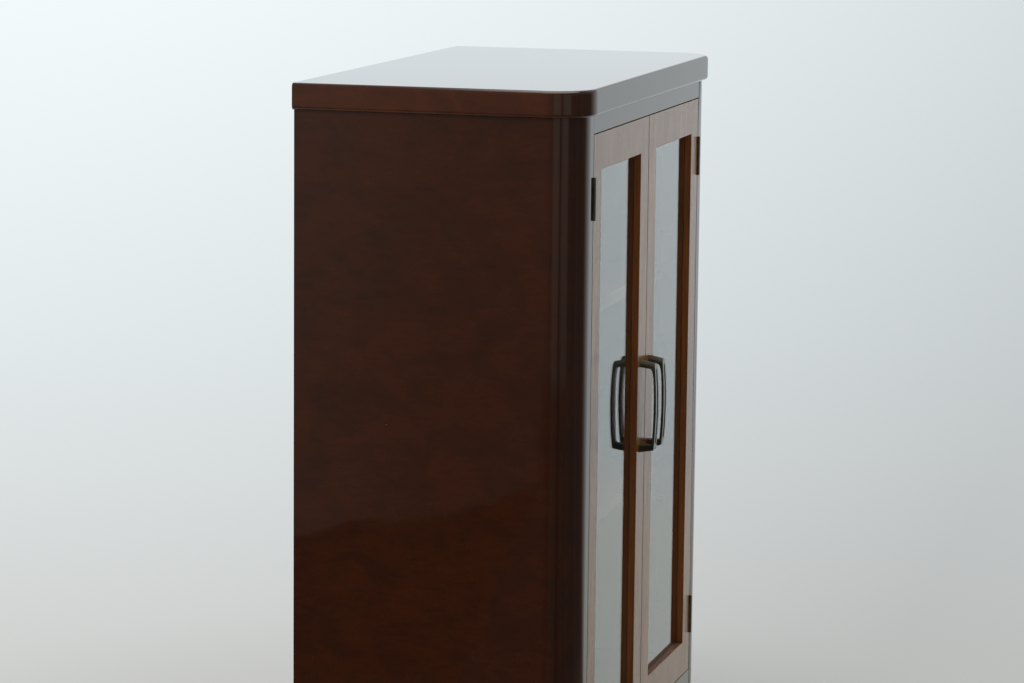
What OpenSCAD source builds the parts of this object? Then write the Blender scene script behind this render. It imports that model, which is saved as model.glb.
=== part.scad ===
// Side cabinet with two glazed doors, rounded front corners and a recessed plinth.
// Millimetres. X runs to the right seen from the front, Y to the back and Z up.
// The origin is on the floor, under the middle of the cabinet with its handles.

/* [Case] */
// Width of the case below the top board
case_w = 696; // [600:1:900]
// Depth of the case from the door faces to the back
case_d = 364; // [300:1:450]
// Height from the floor to the top surface
overall_h = 950; // [800:1:1200]
// Radius of the rounded front corners
corner_r = 46; // [30:1:60]
// Flat part of a corner post's face, between its rounding and the door
post_flat = 14.5; // [12:0.5:30]
// Depth of a corner post behind its rounding
post_tail = 6; // [4:1:20]
// Thickness of the side panels
side_t = 20; // [18:1:26]
// Height of the rail above the doors
top_rail_h = 23; // [20:1:60]
// Height of the rail below the doors
bottom_rail_h = 23; // [20:1:60]
// Thickness of the floor panel
floor_t = 18; // [14:1:22]
// Thickness of the plywood back
back_t = 5; // [4:0.5:8]
// Width of the back panel's seat on each side panel
back_lap = 10; // [6:1:14]
// Depth of the grooves that hold the floor panel
housing_d = 5; // [3:0.5:5]
// Thickness of the tongue on a side panel
tongue_t = 6; // [4:0.5:8]
// Length of the tongue on a side panel
tongue_l = 8; // [5:1:12]
// Length of the tenons on the case rails
rail_tenon_l = 12; // [8:1:16]
// Thickness of the tenons on the case rails
rail_tenon_t = 8; // [6:1:12]
// Shoulder above and below those tenons
rail_shoulder = 5; // [3:0.5:7]
// Overlap of the door stops behind the doors
stop_lap = 10; // [6:1:14]
// Thickness of the upper door stop, front to back
stop_t = 18; // [14:1:24]
// Height of the rail at the top of the back
rear_rail_h = 60; // [40:1:90]
// Thickness of that rail
rear_rail_t = 18; // [14:1:24]
// Side of the cleats' square section
cleat_w = 20; // [16:1:26]

/* [Top board] */
// Thickness of the top board
top_t = 33; // [24:1:45]
// Overhang of the top board at the front and sides
top_over = 8; // [2:0.5:20]
// Radius of its rounded-over edges
top_round = 5; // [2:0.5:10]

/* [Doors] */
// Thickness of the door frames
door_t = 21; // [20:0.5:26]
// Width of the stile that carries the hinges
outer_stile_w = 40; // [38:0.5:60]
// Width of the stile that carries the handle
meeting_stile_w = 42; // [38:0.5:60]
// Height of the door's top rail
door_top_rail_h = 46; // [36:0.5:70]
// Height of the door's bottom rail
door_bottom_rail_h = 46; // [36:0.5:90]
// Length of the door tenons
tenon_l = 20; // [12:0.5:22]
// Thickness of the door tenons
tenon_t = 7; // [5:0.5:9]
// Depth from the door's face to its tenons
tenon_set = 7; // [5:0.5:8]
// Outer shoulder of the door tenons
tenon_shoulder = 8; // [5:0.5:12]
// Gap round each door
door_gap = 1.2; // [0.8:0.1:2.5]
// Gap between the two doors
meeting_gap = 1.6; // [1.4:0.1:3]
// Gap between a closed door and its stops
stop_gap = 0.5; // [0.3:0.1:1.5]
// Radius on the arrises that frame the glass
arris_r = 1.5; // [0.5:0.1:2.5]
// Radius on the outer arrises of doors and posts
edge_r = 0.5; // [0.3:0.1:1.2]

/* [Glass] */
// Thickness of the panes
glass_t = 3; // [2:0.5:4]
// Depth from the door's face to the glass
glass_set = 8.5; // [7:0.5:9]
// Width of the rebate that holds the glass
rebate_w = 8; // [6:0.5:10]
// Play between the pane's edge and the rebate
glass_play = 1; // [0.5:0.1:2]
// Thickness of the glazing beads, front to back
bead_t = 8; // [5:0.5:8]

/* [Handles] */
// Height of a handle
handle_h = 121; // [100:1:160]
// Reach of a handle from the door's face
handle_out = 22; // [18:0.5:35]
// Width of the grip at its middle
handle_w = 16.5; // [14:0.5:20]
// Width of the grip at its ends
handle_end_w = 13; // [12:0.5:14]
// Thickness of the grip
strap_t = 3.1; // [2.5:0.1:4]
// Thickness of the upper leg at the door
leg_t = 9; // [8:0.5:11]
// Rise of the upper leg's rounded top across its width
crown = 3.5; // [2:0.5:4]
// Depth of the hollow in the front of the grip
hollow_d = 0.8; // [0.4:0.1:1.2]
// Width of the hollow in the front of the grip
hollow_w = 7.5; // [5:0.5:8]
// Thickness of the lower leg
foot_t = 9; // [8:0.5:12]
// Height of the handle's middle above the door's middle
handle_up = 23.5; // [-60:0.5:60]
// Radius of the handle screws
handle_screw_r = 1.5; // [1.2:0.1:1.8]

/* [Hinges] */
// Length of a hinge
hinge_l = 51; // [38:1:76]
// Distance from a door's end to its hinge
hinge_inset = 53; // [52:1:120]
// Width of a hinge leaf
leaf_w = 17; // [14:0.5:19]
// Thickness of a hinge leaf
leaf_t = 1.6; // [1.2:0.1:2.2]
// Radius of the hinge barrel
barrel_r = 2.2; // [2.1:0.05:3]
// Radius of the hinge pin
pin_r = 1; // [0.8:0.05:1.1]
// Distance of the hinge pin in front of the doors
hinge_out = 1; // [0.8:0.1:2]
// Height of the pin's head at each end
pin_head_t = 0.8; // [0.5:0.1:1.5]

/* [Catch] */
// Width of the magnetic catch
catch_w = 46; // [42:1:60]
// Height of the magnetic catch
catch_h = 13; // [10:1:16]
// Depth of the magnetic catch
catch_d = 16; // [12:1:17]
// Thickness of the strike plates
strike_t = 1.2; // [0.8:0.1:1.6]
// Width of the strike plates
strike_w = 18; // [12:1:20]

/* [Shelves] */
// Thickness of the shelves
shelf_t = 18; // [14:1:24]
// Gap between a shelf's ends and the side panels
shelf_gap = 2; // [1.8:0.1:4]
// Space between the corner posts and the front of the shelves
shelf_set = 2; // [1:0.5:40]
// Radius of the shelf pegs
peg_r = 3; // [2:0.25:4]
// Reach of a peg from the side panel
peg_out = 10; // [7:0.5:14]
// Depth of a peg in the side panel
peg_in = 10; // [6:0.5:11]
// Distance of the pegs from the shelf's front and back
peg_inset = 40; // [25:1:80]
// Step between two peg holes
peg_step = 32; // [20:1:50]

/* [Plinth] */
// Height of the plinth
plinth_h = 70; // [40:1:120]
// Distance of the plinth inside the case at the front and sides
plinth_set = 12; // [6:1:16]
// Thickness of the plinth boards
plinth_t = 20; // [16:1:25]
// Side of the glue blocks at the back of the plinth
block_w = 30; // [20:1:45]

/* [Fasteners] */
// Radius of the wood screws
screw_r = 1.6; // [1.2:0.1:2]
// Length of the cleat screws below their heads
cleat_screw_l = 35; // [30:1:44]
// Length of the hinge and strike screws below their heads
leaf_screw_l = 13; // [8:0.5:14]
// Radius of the nails in the back
nail_r = 0.8; // [0.6:0.05:1.2]
// Length of the nails in the back
nail_l = 16; // [14:0.5:19]

/* [Clearances] */
// Clearance round pins, screws, pegs and nails
fit = 0.05; // [0.02:0.01:0.1]
// Clearance at the bottom of mortises and grooves
end_play = 1; // [0.5:0.1:2]
// Play at each end of a mitred bead
mitre_gap = 0.1; // [0.05:0.01:0.3]
// Gap between hinge knuckles, and round the hinge barrel
knuckle_gap = 0.3; // [0.2:0.05:0.5]

/* [Hidden] */
$fn = 96;

// Overlap of a cutting shape past the surface that it cuts
over = 1;

// Colours
lacquer = "#3b1a10";
door_wood = "#5a2e1e";
inner_wood = "#8a5a38";
plywood = "#b08a5c";
bronze = "#2b2722";
steel = "#9a968c";
brass_tone = "#a58647";
plastic = "#4a3326";
pane_tint = [0.75, 0.85, 0.85, 0.35];

// Planes of the case
back_y = (case_d + handle_out) / 2;
face_y = back_y - case_d;
side_x = case_w / 2;
inner_x = side_x - side_t;
case_top = overall_h - top_t;
case_bottom = plinth_h;
post_w = corner_r + post_flat;
post_d = corner_r + post_tail;
post_y = face_y + post_d;
open_x = side_x - post_w;
open_top = case_top - top_rail_h;
open_bottom = case_bottom + bottom_rail_h;
floor_z = open_bottom + stop_lap;
rail_t = door_t + stop_gap;
rail_y = face_y + rail_t;
panel_back_y = back_y - back_t;
rear_rail_y = panel_back_y - rear_rail_t;
tongue_x = inner_x + (side_t - tongue_t) / 2;

// Doors
door_x0 = meeting_gap / 2;
door_x1 = open_x - door_gap;
door_z0 = open_bottom + door_gap;
door_z1 = open_top - door_gap;
pane_x0 = door_x0 + meeting_stile_w;
pane_x1 = door_x1 - outer_stile_w;
pane_z0 = door_z0 + door_bottom_rail_h;
pane_z1 = door_z1 - door_top_rail_h;
glass_y = face_y + glass_set;
door_back_y = face_y + door_t;

// Hinges
hinge_x = open_x - door_gap / 2;
hinge_y = face_y - hinge_out;
hinge_z = [door_z0 + hinge_inset, door_z1 - hinge_inset - hinge_l];
knuckle_n = 5;
knuckle_l = hinge_l / knuckle_n;
leaf_screw_n = 3;
leaf_screw_part = 0.62;
leaf_screw_y = face_y + leaf_screw_part * leaf_w;
leaf_y1 = face_y + leaf_w;

// Screws and nails: sizes of their heads and slots, in radii of their shanks
head_ratio = 1.7;
pan_ratio = 2;
pan_height_ratio = 1.2;
slot_ratio = 0.35;
slot_depth_part = 0.4;
head_r = head_ratio * screw_r;
head_t = head_r - screw_r;
slot_w = slot_ratio * screw_r;
slot_d = slot_depth_part * head_t;
nail_head_r = pan_ratio * nail_r;
pan_r = pan_ratio * handle_screw_r;
pan_t = pan_height_ratio * handle_screw_r;
pan_slot_w = slot_ratio * pan_r;
cleat_screw_parts = [0.15, 0.5, 0.85];
side_nail_parts = [0.08, 0.3, 0.5, 0.7, 0.92];
cross_nail_parts = [-0.6, 0, 0.6];

// Handles: the grip's bow, its highest point, and the shape of its ends
handle_x = (door_x0 + pane_x0) / 2;
handle_z = (door_z0 + door_z1) / 2 + handle_up;
bow_r = 560;
leg_slope = 0.19;
leg_taper = 0.12;
toe = 1;
foot_rise = 3;
foot_fillet = 4;
turn_drop = 7;
turn_run = 4;
inner_drop = 24.5;
inner_run = 9;
hollow_end = 12;
grip_n = 12;
half_h = handle_h / 2;
foot_z = foot_t - half_h;
turn_h = half_h - turn_drop;
inner_turn = half_h - inner_drop;
elbow = handle_out - turn_run;
inner_elbow = handle_out - inner_run;
crown_r = (pow(handle_end_w / 2, 2) + pow(crown, 2)) / (2 * crown);
handle_thread = 8;
top_screw_z = handle_z + half_h - (leg_t + leg_slope * handle_thread) / 2;
foot_screw_z = handle_z - half_h + foot_t / 2;
handle_screw_z = [foot_screw_z, top_screw_z];
swell = (handle_w - handle_end_w) / 2;
swell_r = (pow(half_h, 2) + pow(swell, 2)) / (2 * swell);

// Catch
catch_bite = 10;
catch_wall = 2;
strike_rim = 1.5;
magnet_t = 2;
catch_screw_part = 0.37;
catch_y = door_back_y + strike_t + stop_gap;
catch_top = open_top - stop_lap;
catch_screw_x = catch_screw_part * catch_w;
catch_screw_l = catch_h + catch_bite;
strike_z = catch_top - catch_h / 2;
strike_x = catch_w / 4;
strike_h = catch_h - 2 * strike_rim;
magnet_h = catch_h - 2 * catch_wall;
magnet_w = strike_w - 2 * catch_wall;

// Shelves and pegs
bay_h = (case_top - floor_z - 2 * shelf_t) / 3;
shelf_z = [floor_z + bay_h, floor_z + 2 * bay_h + shelf_t];
shelf_y0 = post_y + shelf_set;
shelf_y1 = panel_back_y - shelf_gap;
peg_y = [shelf_y0 + peg_inset, shelf_y1 - peg_inset];
peg_z = [for (z = shelf_z) z - peg_r - fit];
flange_r = head_ratio * peg_r;
flange_t = 1.5;

// Plinth
plinth_x = side_x - plinth_set;
plinth_y = face_y + plinth_set;
plinth_r = corner_r - plinth_set;
corner_s = max(plinth_r, plinth_t) + post_tail;

// Box between two opposite corners
module block(low, high) {
    translate(low) cube(high - low);
}

// The same piece on the right-hand side
module right_hand() {
    mirror([1, 0, 0]) children();
}

// Board outline with its front left corner rounded, for a corner at the origin
module quarter_round(w, d, r) {
    translate([r, 0]) square([w - r, d]);
    translate([0, r]) square([w, d - r]);
    intersection() {
        translate([r, r]) circle(r);
        square(r);
    }
}

// What a round arris takes from a square corner at the origin, towards +x +y
module arris(r) {
    difference() {
        translate([-over, -over]) square(r + over);
        translate([r, r]) circle(r);
    }
}

// Upright arris cutter along Z, its corner at the given place, turned about Z
module upright_arris(place, turn, length, r = edge_r) {
    translate(place) rotate(turn) linear_extrude(length) arris(r);
}

// Arris cutter along X for a corner that faces forward, seen from the left
module level_arris(place, flip, length, r = edge_r) {
    translate(place) mirror([0, 0, flip]) rotate([90, 0, 90]) linear_extrude(length) arris(r);
}

// Countersunk wood screw along +Z, its head's face at the origin
module wood_screw(length, play = 0) {
    cylinder(h = head_t, r1 = head_r + play, r2 = screw_r + play);
    cylinder(h = head_t + length + play, r = screw_r + play);
}

module slotted_screw(length) {
    difference() {
        wood_screw(length);
        translate([0, 0, slot_d - over]) cube([2 * head_r + over, slot_w, 2 * over], center = true);
    }
}

// Section of the top board at its edge, from the axis out to its reach
module edge_section(reach) {
    square([reach - top_round, top_t]);
    translate([0, top_round]) square([reach, top_t - 2 * top_round]);
    for (z = [top_round, top_t - top_round]) translate([reach - top_round, z]) circle(top_round);
}

module top_board() {
    r = corner_r + top_over;
    x = side_x - corner_r;
    y = face_y + corner_r;
    color(lacquer) difference() {
        union() {
            block([-x, y, case_top], [x, back_y, overall_h]);
            // Front edge between the corners
            translate([-x, y, case_top]) rotate([90, 0, 90]) mirror([1, 0, 0])
                linear_extrude(2 * x) edge_section(r);
            // Side edges and rounded corners
            for (s = [0, 1]) mirror([s, 0, 0]) {
                translate([x, back_y, case_top]) rotate([90, 0, 0])
                    linear_extrude(back_y - y) edge_section(r);
                translate([x, y, case_top]) rotate(-90) rotate_extrude(angle = 90) edge_section(r);
            }
        }
        for (s = [-1, 1]) cleat_screw_places(s) wood_screw(cleat_screw_l, fit);
    }
}

// Side panel of the left-hand side
module side_panel() {
    difference() {
        union() {
            block([-side_x, post_y, case_bottom], [-inner_x, back_y, case_top]);
            block([-tongue_x - tongue_t, post_y - tongue_l, case_bottom], [-tongue_x, post_y, case_top]);
        }
        block([-inner_x - housing_d, post_y - over, floor_z - floor_t],
              [-inner_x + over, panel_back_y, floor_z]);
        block([-inner_x - back_lap, panel_back_y, case_bottom - over],
              [-inner_x + over, back_y + over, case_top + over]);
        upright_arris([-side_x, back_y, case_bottom - over], -90, case_top - case_bottom + 2 * over);
        // Rows of peg holes, with the shelf's own height in the middle
        for (z = peg_z, step = [-1, 0, 1], y = peg_y)
            translate([-inner_x + over, y, z + step * peg_step]) rotate([0, -90, 0])
                cylinder(h = peg_in + end_play + over, r = peg_r + fit);
        side_nail_places() nail(fit);
    }
}

module left_side() { color(lacquer) side_panel(); }
module right_side() { color(lacquer) right_hand() side_panel(); }

// Corner post of the left-hand side
module corner_post() {
    height = case_top - case_bottom;
    difference() {
        translate([-side_x, face_y, case_bottom]) linear_extrude(height)
            quarter_round(post_w, post_d, corner_r);
        // Groove for the side panel's tongue
        block([-tongue_x - tongue_t, post_y - tongue_l - end_play, case_bottom - over],
              [-tongue_x, post_y + over, case_top + over]);
        rail_tenon(open_top, case_top, end_play);
        rail_tenon(case_bottom, open_bottom, end_play);
        upright_arris([-open_x, face_y, open_bottom], 90, open_top - open_bottom);
        for (z = hinge_z) hinge_pocket(z, -open_x - leaf_t, -open_x + over);
        post_screw_places() wood_screw(leaf_screw_l, fit);
    }
}

module left_post() { color(lacquer) corner_post(); }
module right_post() { color(lacquer) right_hand() corner_post(); }

// Left-hand tenon of a case rail between two heights
module rail_tenon(low, high, play = 0) {
    y = face_y + (rail_t - rail_tenon_t) / 2;
    block([-open_x - rail_tenon_l - play, y, low + rail_shoulder],
          [-open_x + over, y + rail_tenon_t, high - rail_shoulder]);
}

module case_rail(low, high) {
    block([-open_x, face_y, low], [open_x, rail_y, high]);
    rail_tenon(low, high);
    right_hand() rail_tenon(low, high);
}

module top_rail() {
    color(lacquer) difference() {
        case_rail(open_top, case_top);
        level_arris([-open_x - over, face_y, open_top], 0, 2 * (open_x + over));
    }
}

module bottom_rail() {
    color(lacquer) difference() {
        case_rail(case_bottom, open_bottom);
        level_arris([-open_x - over, face_y, open_bottom], 1, 2 * (open_x + over));
    }
}

module top_stop() {
    color(inner_wood) difference() {
        block([-open_x, rail_y, catch_top], [open_x, rail_y + stop_t, case_top]);
        catch_screw_places() wood_screw(catch_screw_l, fit);
    }
}

module rear_rail() {
    color(inner_wood) difference() {
        block([-inner_x, rear_rail_y, case_top - rear_rail_h], [inner_x, panel_back_y, case_top]);
        top_nail_places() nail(fit);
    }
}

// Places of the screws in one cleat, pointing up into the top board
module cleat_screw_places(s) {
    for (part = cleat_screw_parts)
        translate([s * (inner_x - cleat_w / 2), post_y + part * (rear_rail_y - post_y), case_top - cleat_w])
            children();
}

module cleat(s) {
    low = [s * (inner_x - cleat_w / 2) - cleat_w / 2, post_y, case_top - cleat_w];
    difference() {
        block(low, low + [cleat_w, rear_rail_y - post_y, cleat_w]);
        cleat_screw_places(s) wood_screw(cleat_screw_l, fit);
    }
}

module left_cleat() { color(inner_wood) cleat(-1); }
module right_cleat() { color(inner_wood) cleat(1); }

module cleat_screws() {
    color(steel) for (s = [-1, 1]) cleat_screw_places(s) slotted_screw(cleat_screw_l);
}

module floor_panel() {
    x = inner_x + housing_d;
    low = floor_z - floor_t;
    color(inner_wood) difference() {
        block([-x, rail_y, low], [x, panel_back_y, floor_z]);
        // Notches round the corner posts
        for (s = [0, 1]) mirror([s, 0, 0])
            block([open_x, rail_y - over, low - over], [x + over, post_y, floor_z + over]);
        level_arris([-open_x - over, rail_y, floor_z], 1, 2 * (open_x + over));
        floor_nail_places() nail(fit);
    }
}

// Nail along -Y from the back panel's face, its head's face at the origin
module nail(play = 0) {
    rotate([90, 0, 0]) {
        cylinder(h = nail_head_r + play, r1 = nail_head_r + play, r2 = nail_r + play);
        cylinder(h = nail_l + play, r = nail_r + play);
    }
}

module side_nail_places() {
    for (part = side_nail_parts)
        translate([-inner_x - back_lap / 2, back_y, floor_z + part * (case_top - floor_z)]) children();
}

module top_nail_places() {
    for (part = cross_nail_parts)
        translate([part * inner_x, back_y, case_top - rear_rail_h / 2]) children();
}

module floor_nail_places() {
    for (part = cross_nail_parts)
        translate([part * inner_x, back_y, floor_z - floor_t / 2]) children();
}

module all_nail_places() {
    side_nail_places() children();
    right_hand() side_nail_places() children();
    top_nail_places() children();
    floor_nail_places() children();
}

module back_panel() {
    x = inner_x + back_lap - fit;
    color(plywood) difference() {
        block([-x, panel_back_y, case_bottom], [x, back_y, case_top]);
        all_nail_places() nail(fit);
    }
}

module back_nails() { color(steel) all_nail_places() nail(); }

module shelf(z) {
    x = inner_x - shelf_gap;
    difference() {
        block([-x, shelf_y0, z], [x, shelf_y1, z + shelf_t]);
        level_arris([-x - over, shelf_y0, z], 0, 2 * (x + over), arris_r);
        level_arris([-x - over, shelf_y0, z + shelf_t], 1, 2 * (x + over), arris_r);
    }
}

module lower_shelf() { color(inner_wood) shelf(shelf_z[0]); }
module upper_shelf() { color(inner_wood) shelf(shelf_z[1]); }

// Pegs of both shelves, on both sides
module shelf_pegs() {
    color(brass_tone) for (s = [0, 1], z = peg_z, y = peg_y)
        mirror([s, 0, 0]) translate([-inner_x, y, z]) rotate([0, 90, 0]) {
            translate([0, 0, -peg_in]) cylinder(h = peg_in + peg_out, r = peg_r);
            cylinder(h = flange_t, r = flange_r);
        }
}

module plinth_front() {
    x = plinth_x - corner_s;
    color(lacquer) block([-x, plinth_y, 0], [x, plinth_y + plinth_t, plinth_h]);
}

module plinth_side() {
    block([-plinth_x, plinth_y + corner_s, 0], [-plinth_x + plinth_t, back_y, plinth_h]);
}

module plinth_left() { color(lacquer) plinth_side(); }
module plinth_right() { color(lacquer) right_hand() plinth_side(); }

module plinth_back() {
    x = plinth_x - plinth_t;
    color(lacquer) block([-x, back_y - plinth_t, 0], [x, back_y, plinth_h]);
}

module plinth_corner() {
    translate([-plinth_x, plinth_y, 0]) linear_extrude(plinth_h)
        quarter_round(corner_s, corner_s, plinth_r);
}

module left_plinth_corner() { color(lacquer) plinth_corner(); }
module right_plinth_corner() { color(lacquer) right_hand() plinth_corner(); }

// Glue blocks in the two rear corners of the plinth
module plinth_blocks() {
    x = plinth_x - plinth_t;
    y = back_y - plinth_t;
    color(inner_wood) for (s = [0, 1]) mirror([s, 0, 0])
        block([x - block_w, y - block_w, end_play], [x, y, plinth_h - end_play]);
}

// Knuckles of one leaf: the post has the even ones, the door the odd ones
module knuckles(z, first, r, play = 0) {
    for (i = [first:2:knuckle_n - 1])
        translate([-hinge_x, hinge_y, z + i * knuckle_l + (i == 0 ? 0 : knuckle_gap / 2) - play])
            cylinder(h = knuckle_l - (i == 0 || i == knuckle_n - 1 ? 1 : 2) * knuckle_gap / 2 + 2 * play,
                     r = r);
}

// Left-hand hinge leaf, from its plate's outer plane inwards
module hinge_leaf(z, plate_x, first) {
    other = 1 - first;
    difference() {
        union() {
            block([plate_x, hinge_y, z], [plate_x + leaf_t, leaf_y1, z + hinge_l]);
            knuckles(z, first, barrel_r);
        }
        knuckles(z, other, barrel_r + knuckle_gap, knuckle_gap);
        translate([-hinge_x, hinge_y, z - over]) cylinder(h = hinge_l + 2 * over, r = pin_r + fit);
    }
}

// Pocket that a leaf and the barrel are let into, between two planes of X
module hinge_pocket(z, x0, x1) {
    block([x0, face_y - over, z], [x1, leaf_y1, z + hinge_l]);
    translate([-hinge_x, hinge_y, z - pin_head_t - knuckle_gap])
        cylinder(h = hinge_l + 2 * (pin_head_t + knuckle_gap), r = barrel_r + knuckle_gap);
}

// Heights of the screws in a hinge leaf
function leaf_screw_z(z) = [for (i = [0:leaf_screw_n - 1]) z + hinge_l * (i + 0.5) / leaf_screw_n];

// Screws of the left-hand post leaves, pointing into the post
module post_screw_places() {
    for (z = hinge_z, place = leaf_screw_z(z))
        translate([-open_x, leaf_screw_y, place]) rotate([0, -90, 0]) children();
}

// Screws of the left-hand door leaves, pointing into the door
module door_screw_places() {
    for (z = hinge_z, place = leaf_screw_z(z))
        translate([-door_x1, leaf_screw_y, place]) rotate([0, 90, 0]) children();
}

module post_leaves() {
    difference() {
        for (z = hinge_z) hinge_leaf(z, -open_x - leaf_t, 0);
        post_screw_places() wood_screw(leaf_screw_l, fit);
    }
}

module door_leaves() {
    difference() {
        for (z = hinge_z) hinge_leaf(z, -door_x1, 1);
        door_screw_places() wood_screw(leaf_screw_l, fit);
    }
}

module left_post_leaves() { color(bronze) post_leaves(); }
module right_post_leaves() { color(bronze) right_hand() post_leaves(); }

module post_leaf_screws() {
    color(bronze) for (s = [0, 1]) mirror([s, 0, 0]) post_screw_places() slotted_screw(leaf_screw_l);
}

module hinge_pins() {
    for (z = hinge_z) translate([-hinge_x, hinge_y, z]) {
        cylinder(h = hinge_l, r = pin_r);
        for (end = [-pin_head_t, hinge_l]) translate([0, 0, end]) cylinder(h = pin_head_t, r = 2 * pin_r);
    }
}

module left_hinge_pins() { color(bronze) hinge_pins(); }
module right_hinge_pins() { color(bronze) right_hand() hinge_pins(); }

// Screws of the catch, pointing up into the upper door stop
module catch_screw_places() {
    for (s = [-1, 1]) translate([s * catch_screw_x, catch_y + catch_d / 2, catch_top - catch_h])
        children();
}

module magnet_pocket(s, play = 0) {
    translate([s * strike_x, catch_y, strike_z])
        cube([magnet_w + 2 * play, 2 * magnet_t + 2 * play, magnet_h + 2 * play], center = true);
}

module catch_case() {
    color(plastic) difference() {
        block([-catch_w / 2, catch_y, catch_top - catch_h], [catch_w / 2, catch_y + catch_d, catch_top]);
        for (s = [-1, 1]) magnet_pocket(s, fit);
        catch_screw_places() wood_screw(catch_screw_l, fit);
    }
}

module catch_magnets() {
    color(steel) intersection() {
        for (s = [-1, 1]) magnet_pocket(s);
        block([-catch_w, catch_y, catch_top - catch_h], [catch_w, catch_y + catch_d, catch_top]);
    }
}

module catch_screws() { color(steel) catch_screw_places() slotted_screw(catch_screw_l); }

// Outer stile of the left-hand door, mortised, rebated and let out for the hinges
module outer_stile() {
    difference() {
        block([-door_x1, face_y, door_z0], [-pane_x1, door_back_y, door_z1]);
        stile_rebate(-pane_x1 - rebate_w, -pane_x1 + over);
        for (high = [0, 1]) door_tenon(-pane_x1, -1, high, end_play);
        upright_arris([-door_x1, face_y, door_z0 - over], 0, door_z1 - door_z0 + 2 * over);
        upright_arris([-pane_x1, face_y, pane_z0], 90, pane_z1 - pane_z0, arris_r);
        for (z = hinge_z) hinge_pocket(z, -door_x1 - over, -door_x1 + leaf_t);
        door_screw_places() wood_screw(leaf_screw_l, fit);
    }
}

// Stile at the middle of the cabinet, drilled for the handle
module meeting_stile() {
    difference() {
        block([-pane_x0, face_y, door_z0], [-door_x0, door_back_y, door_z1]);
        stile_rebate(-pane_x0 - over, -pane_x0 + rebate_w);
        for (high = [0, 1]) door_tenon(-pane_x0, 1, high, end_play);
        upright_arris([-door_x0, face_y, door_z0 - over], 90, door_z1 - door_z0 + 2 * over);
        upright_arris([-pane_x0, face_y, pane_z0], 0, pane_z1 - pane_z0, arris_r);
        handle_screw_places() handle_screw(fit);
        strike_screw_place() wood_screw(leaf_screw_l, fit);
    }
}

// Rebate for the pane between two planes of X, over the height of the glass
module stile_rebate(x0, x1) {
    block([x0, glass_y, pane_z0 - rebate_w], [x1, door_back_y + over, pane_z1 + rebate_w]);
}

// Tenon of a door rail into the stile at x, towards -1 or +1
module door_tenon(x, way, high, play = 0) {
    low_z = high == 1 ? pane_z1 + rebate_w : door_z0 + tenon_shoulder;
    high_z = high == 1 ? door_z1 - tenon_shoulder : pane_z0 - rebate_w;
    x_end = x + way * (tenon_l + play);
    x_start = x - way * over;
    y = face_y + tenon_set;
    block([min(x_start, x_end), y, low_z], [max(x_start, x_end), y + tenon_t, high_z]);
}

// Rail of the left-hand door: high is 1 for the top rail, 0 for the bottom one
module door_rail(high) {
    low_z = high == 1 ? pane_z1 : door_z0;
    high_z = high == 1 ? door_z1 : pane_z0;
    rebate_z = high == 1 ? pane_z1 - over : pane_z0 - rebate_w;
    inner_z = high == 1 ? pane_z1 : pane_z0;
    outer_z = high == 1 ? door_z1 : door_z0;
    reach = 2 * over;
    difference() {
        union() {
            block([-pane_x1, face_y, low_z], [-pane_x0, door_back_y, high_z]);
            door_tenon(-pane_x1, -1, high);
            door_tenon(-pane_x0, 1, high);
        }
        block([-pane_x1 - over, glass_y, rebate_z],
              [-pane_x0 + over, door_back_y + over, rebate_z + rebate_w + over]);
        level_arris([-pane_x1 - over, face_y, inner_z], 1 - high, pane_x1 - pane_x0 + reach, arris_r);
        level_arris([-pane_x1 - over, face_y, outer_z], high, pane_x1 - pane_x0 + reach);
    }
}

// Pane and its beads share the rebate of the door frame
module door_glass() {
    gap = rebate_w - glass_play;
    block([-pane_x1 - gap, glass_y, pane_z0 - gap], [-pane_x0 + gap, glass_y + glass_t, pane_z1 + gap]);
}

// One mitred bead along +X, lying in the plane of the door
module bead(length) {
    rotate([90, 0, 0]) linear_extrude(bead_t)
        polygon([[mitre_gap, 0], [length - mitre_gap, 0],
                 [length - rebate_w - mitre_gap, rebate_w], [rebate_w + mitre_gap, rebate_w]]);
}

module door_beads() {
    w = pane_x1 - pane_x0 + 2 * rebate_w;
    h = pane_z1 - pane_z0 + 2 * rebate_w;
    translate([-pane_x1 - rebate_w, glass_y + glass_t + bead_t, pane_z0 - rebate_w]) {
        bead(w);
        translate([w, 0, h]) rotate([0, 180, 0]) bead(w);
        translate([0, 0, h]) rotate([0, 90, 0]) bead(h);
        translate([w, 0, 0]) rotate([0, -90, 0]) bead(h);
    }
}

// Reach of the bowed grip, and of its inner face, at a height above the handle's middle
function bow(z) = handle_out - pow(z, 2) / (2 * bow_r);
function inner_bow(z) = bow(z) - strap_t;

// Heights of the upper leg's two faces at a reach from the door
function leg_top(x) = half_h - leg_slope * x;
function leg_under(x) = half_h - leg_t - leg_taper * x;

// Points of a smooth corner from a to c that aims at b
function turn(a, b, c) = [for (t = [0:0.125:1]) (1 - t) * (1 - t) * a + 2 * t * (1 - t) * b + t * t * c];

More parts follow.
